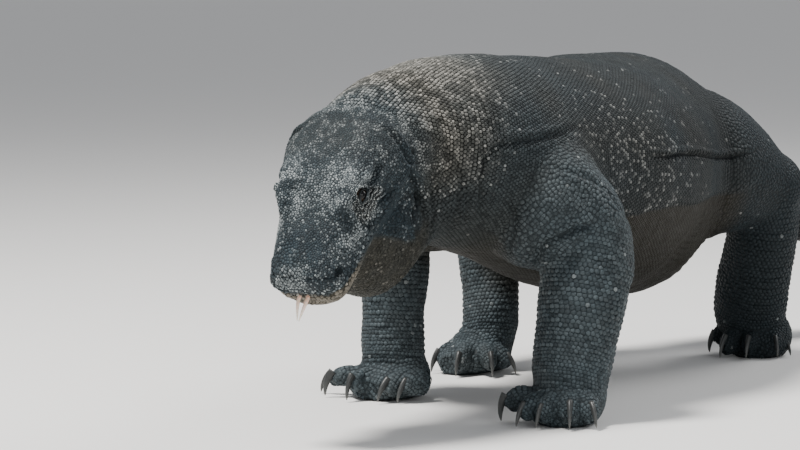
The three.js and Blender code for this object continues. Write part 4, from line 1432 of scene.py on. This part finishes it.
# A round pupil, a brown iris and a dark rim, by the angle from the eye's axis.
EYE_WET = streaked("eye_wet", (1500.0,), 0.04, [
    (0.0, (0.003, 0.003, 0.003)), (0.30, (0.003, 0.003, 0.003)), (0.34, (0.022, 0.013, 0.007)),
    (0.50, (0.034, 0.020, 0.010)), (0.60, (0.014, 0.010, 0.008)), (0.75, (0.012, 0.010, 0.010)),
], Roughness=0.1, IOR=1.34)
# Dark horn with long streaks, paler and worn at the tips.
CLAW_HORN = streaked("claw_horn", (260.0, 4.0, 0.65), 0.5, [
    (0.0, (0.034, 0.036, 0.035)), (0.35, (0.026, 0.028, 0.028)),
    (0.8, (0.055, 0.058, 0.056)), (1.0, (0.11, 0.11, 0.10)),
], (0.32, 0.55), 0.0004, Specular_IOR_Level=0.5)
# Wet pale flesh with a red root.
TONGUE_WET = streaked("tongue_wet", (400.0, 3.0), 0.25, [
    (0.0, (0.40, 0.14, 0.08)), (0.36, (0.56, 0.24, 0.14)),
    (0.6, (0.68, 0.50, 0.39)), (1.0, (0.78, 0.70, 0.62)),
], depth=0.0003, Roughness=0.22, Coat_Weight=0.5, Coat_Roughness=0.1, Subsurface_Weight=0.15,
    Subsurface_Scale=0.004)


# ---- Hide and coat ----
flesh = ["head", "lower_jaw", "neck", "throat", "trunk", "tail_base", "tail_middle", "tail_end"]
finished(hide, BARE_HIDE, "body_skin", *flesh, *(node for leg in LEGS.values() for node in leg["nodes"]))
MOST_SCALES = 9600  # in one piece, to keep it under 200,000 triangles
LEG_REACH, ANKLE_HEIGHT = 150, 62  # a scale nearer than this to a leg's joints is on that leg
SLOTS = {"body": "body_skin", "head": "head_skin", "throat": "throat_skin"}


def coat():
    """The scales, in pieces by the part of the body that they stand on. Gives their number."""
    scales = stand_scales()
    p = scales[0]
    f, s, u = to_head(p).T
    part_of = np.full(len(p), "body", dtype=object)
    lines = {"body": [(BODY[::-1], (0, 1, 0), None)],
             "head": [([[f, 0, 0, w, h] for f, w, h in HEAD], (0, 1, 0), from_head)],
             "throat": [(POUCH[::-1], (0, 1, 0), None)]}
    where = zones(p)
    for name, leg in LEGS.items():
        foot = name.replace("leg", "foot")
        lines[name], lines[foot] = leg_lines(leg), foot_lines(leg)
        side = np.sign(leg["joints"][1][1])
        near = np.minimum(*(size_of(p[:, :2] - joint[:2]) for joint in leg["joints"][1:])) < LEG_REACH
        outside = (p[:, 1] - body_at(p[:, 0])[0]) * side > 20
        part_of[near & outside & (where["leg"] > 0.5)] = name
        part_of[near & (p[:, 2] < ANKLE_HEIGHT) & (p[:, 1] * side > 60)] = foot
    face = in_face(f, s, u) & (p[:, 0] > 440)
    part_of[face & (part_of == "body")] = "throat"
    part_of[face & (where["head"] > 0.5)] = "head"
    for name, line in lines.items():
        chosen = np.flatnonzero(part_of == name)
        parts = in_parts(chosen[np.argsort(-p[chosen, 0], kind="stable")], MOST_SCALES)
        for number, part in enumerate(parts):
            label = f"coat_{name}" + (f"_{number + 1}" if len(parts) > 1 else "")
            coat_piece(label, [column[part] for column in scales], line, SLOTS.get(name, "leg_skin"))
    return len(p)


print("scales", coat(), "hide", len(hide.data.polygons))


# ---- Eyes, claws and tongue ----
def loft(name, parts, look, slot, nodes):
    """Closed lofts joined as one piece. Each part is a grid of rings in design millimetres, and
    one mark for each ring."""
    points, corners, sizes, marks, base = [], [], [], [], 0
    for grid, mark in parts:
        p, quads, fans = closed(grid)
        points.append(p)
        corners += [quads.ravel() + base, fans.ravel() + base]
        sizes += [np.full(len(quads), 4), np.full(len(fans), 3)]
        marks += [np.repeat(mark, grid.shape[1]), mark[[0, -1]]]
        base += len(p)
    piece = new_mesh(name, metres(np.concatenate(points)), np.concatenate(corners), np.concatenate(sizes))
    paint(piece, np.concatenate(marks)[:, None] * [1, 0, 0, 0])
    return finished(piece, look, slot, *nodes)


def eyeball(side):
    """A ball round the eye's own axis, with the clear front bulging by a bump over its middle:
    r = R + 0.9 (1 - (angle / 0.75)^2)^2. Its mark is the angle from the axis, 1 at a right angle."""
    fall = np.linspace(0.02, math.pi - 0.02, 33)
    turn = np.arange(40) * 2 * math.pi / 40
    radius = EYE_RADIUS - 0.7 + 0.9 * np.clip(1 - (fall / 0.75) ** 2, 0, None) ** 2
    ahead, out, up = EYE_AXES
    rim = np.cos(turn)[:, None] * ahead + np.sin(turn)[:, None] * up
    grid = (np.sin(fall) * radius)[:, None, None] * rim[None] + (np.cos(fall) * radius)[:, None, None] * out
    grid = (grid + EYE_AT) * [1, side, 1]
    return from_head(grid[:, ::-1] if side > 0 else grid), fall / (math.pi / 2)


for side, name in ((1, "left"), (-1, "right")):
    loft(f"eyeball_{name}", [eyeball(side)], EYE_WET, "eye_gloss", [f"eye_{name}"])

for name, leg in LEGS.items():
    place = foot_place(leg)
    parts = []
    for each in leg["toes"]:
        rows, across = claw(leg, *each)
        parts.append((tube(rows, 18, 14, across, place), np.linspace(0, 1, 18)))
    nodes = [f"{leg['nodes'][2]}_claw_{k + 1}" for k in range(len(parts))]
    loft(f"claws_{name}", parts, CLAW_HORN, "claw_horn", nodes)


def tine(side):
    """A tine of the tongue, turned a little about the stem's tip."""
    cos, sin = math.cos(math.radians(TONGUE_TURN)), math.sin(math.radians(TONGUE_TURN))
    first = TONGUE_TINE[0][0]
    return [[first + (f - first) * cos - side * s * sin, (f - first) * sin + side * s * cos, *rest]
            for f, s, *rest in TONGUE_TINE]


parts = [(tube(rows, 16, 14, place=from_head), np.linspace(low, high, 16))
         for rows, low, high in ((TONGUE_STEM, 0, 0.3), (tine(1), 0.3, 1), (tine(-1), 0.3, 1))]
loft("tongue_forked", parts, TONGUE_WET, "tongue_flesh", ["tongue"])

# ---- Floor, lights and camera ----
FLOOR_RADIUS = 200
WORLD_COLOUR, WORLD_STRENGTH = (0.80, 0.82, 0.86, 1), 0.52
# name: place, target, size across, power and colour
LIGHTS = {
    "key": ((1.9, -1.2, 4.0), (0.5, 0, 0.3), 1.2, 320, (1, 0.98, 0.95)),
    "front": ((4.2, 3.4, 1.9), (0.4, 0, 0.2), 2.4, 60, (0.95, 0.98, 1)),
    "back": ((-2.6, 1.5, 3.0), (-0.3, 0, 0.2), 2.0, 80, (1, 1, 1)),
}
CAMERA_AT = np.array([4705.5, 1760.5, 613.0])  # in design millimetres
CAMERA_WAY = (-0.919015, -0.386744, -0.0764202)
CAMERA_LENS, CAMERA_SENSOR = 161.46, 36

bpy.ops.mesh.primitive_circle_add(
    vertices=96, radius=FLOOR_RADIUS, fill_type="NGON", location=(0, 0, -0.0005))
floor = bpy.context.object
floor.name = "floor"
floor.data.materials.append(material("floor_plain", Base_Color=(0.84, 0.83, 0.81, 1), Roughness=0.9)[0])

world = bpy.data.worlds.new("studio")
world.use_nodes = True
sky = world.node_tree.nodes["Background"]
sky.inputs[0].default_value, sky.inputs[1].default_value = WORLD_COLOUR, WORLD_STRENGTH
bpy.context.scene.world = world


def stand(name, data, at, way):
    """Puts a light or camera at a place, looking along a way."""
    made = bpy.data.objects.new(name, data)
    made.location = at
    made.rotation_mode = "QUATERNION"
    made.rotation_quaternion = Vector(way).to_track_quat("-Z", "Y")
    bpy.context.scene.collection.objects.link(made)
    return made


for name, (at, target, size, power, colour) in LIGHTS.items():
    light = bpy.data.lights.new(name, "AREA")
    light.shape = "DISK"
    light.size, light.energy, light.color = size, power, colour
    stand(name, light, at, Vector(target) - Vector(at))

camera = bpy.data.cameras.new("view")
camera.sensor_width, camera.lens = CAMERA_SENSOR, CAMERA_LENS
camera.clip_end = 2 * FLOOR_RADIUS
bpy.context.scene.camera = stand("view", camera, metres(CAMERA_AT), CAMERA_WAY)
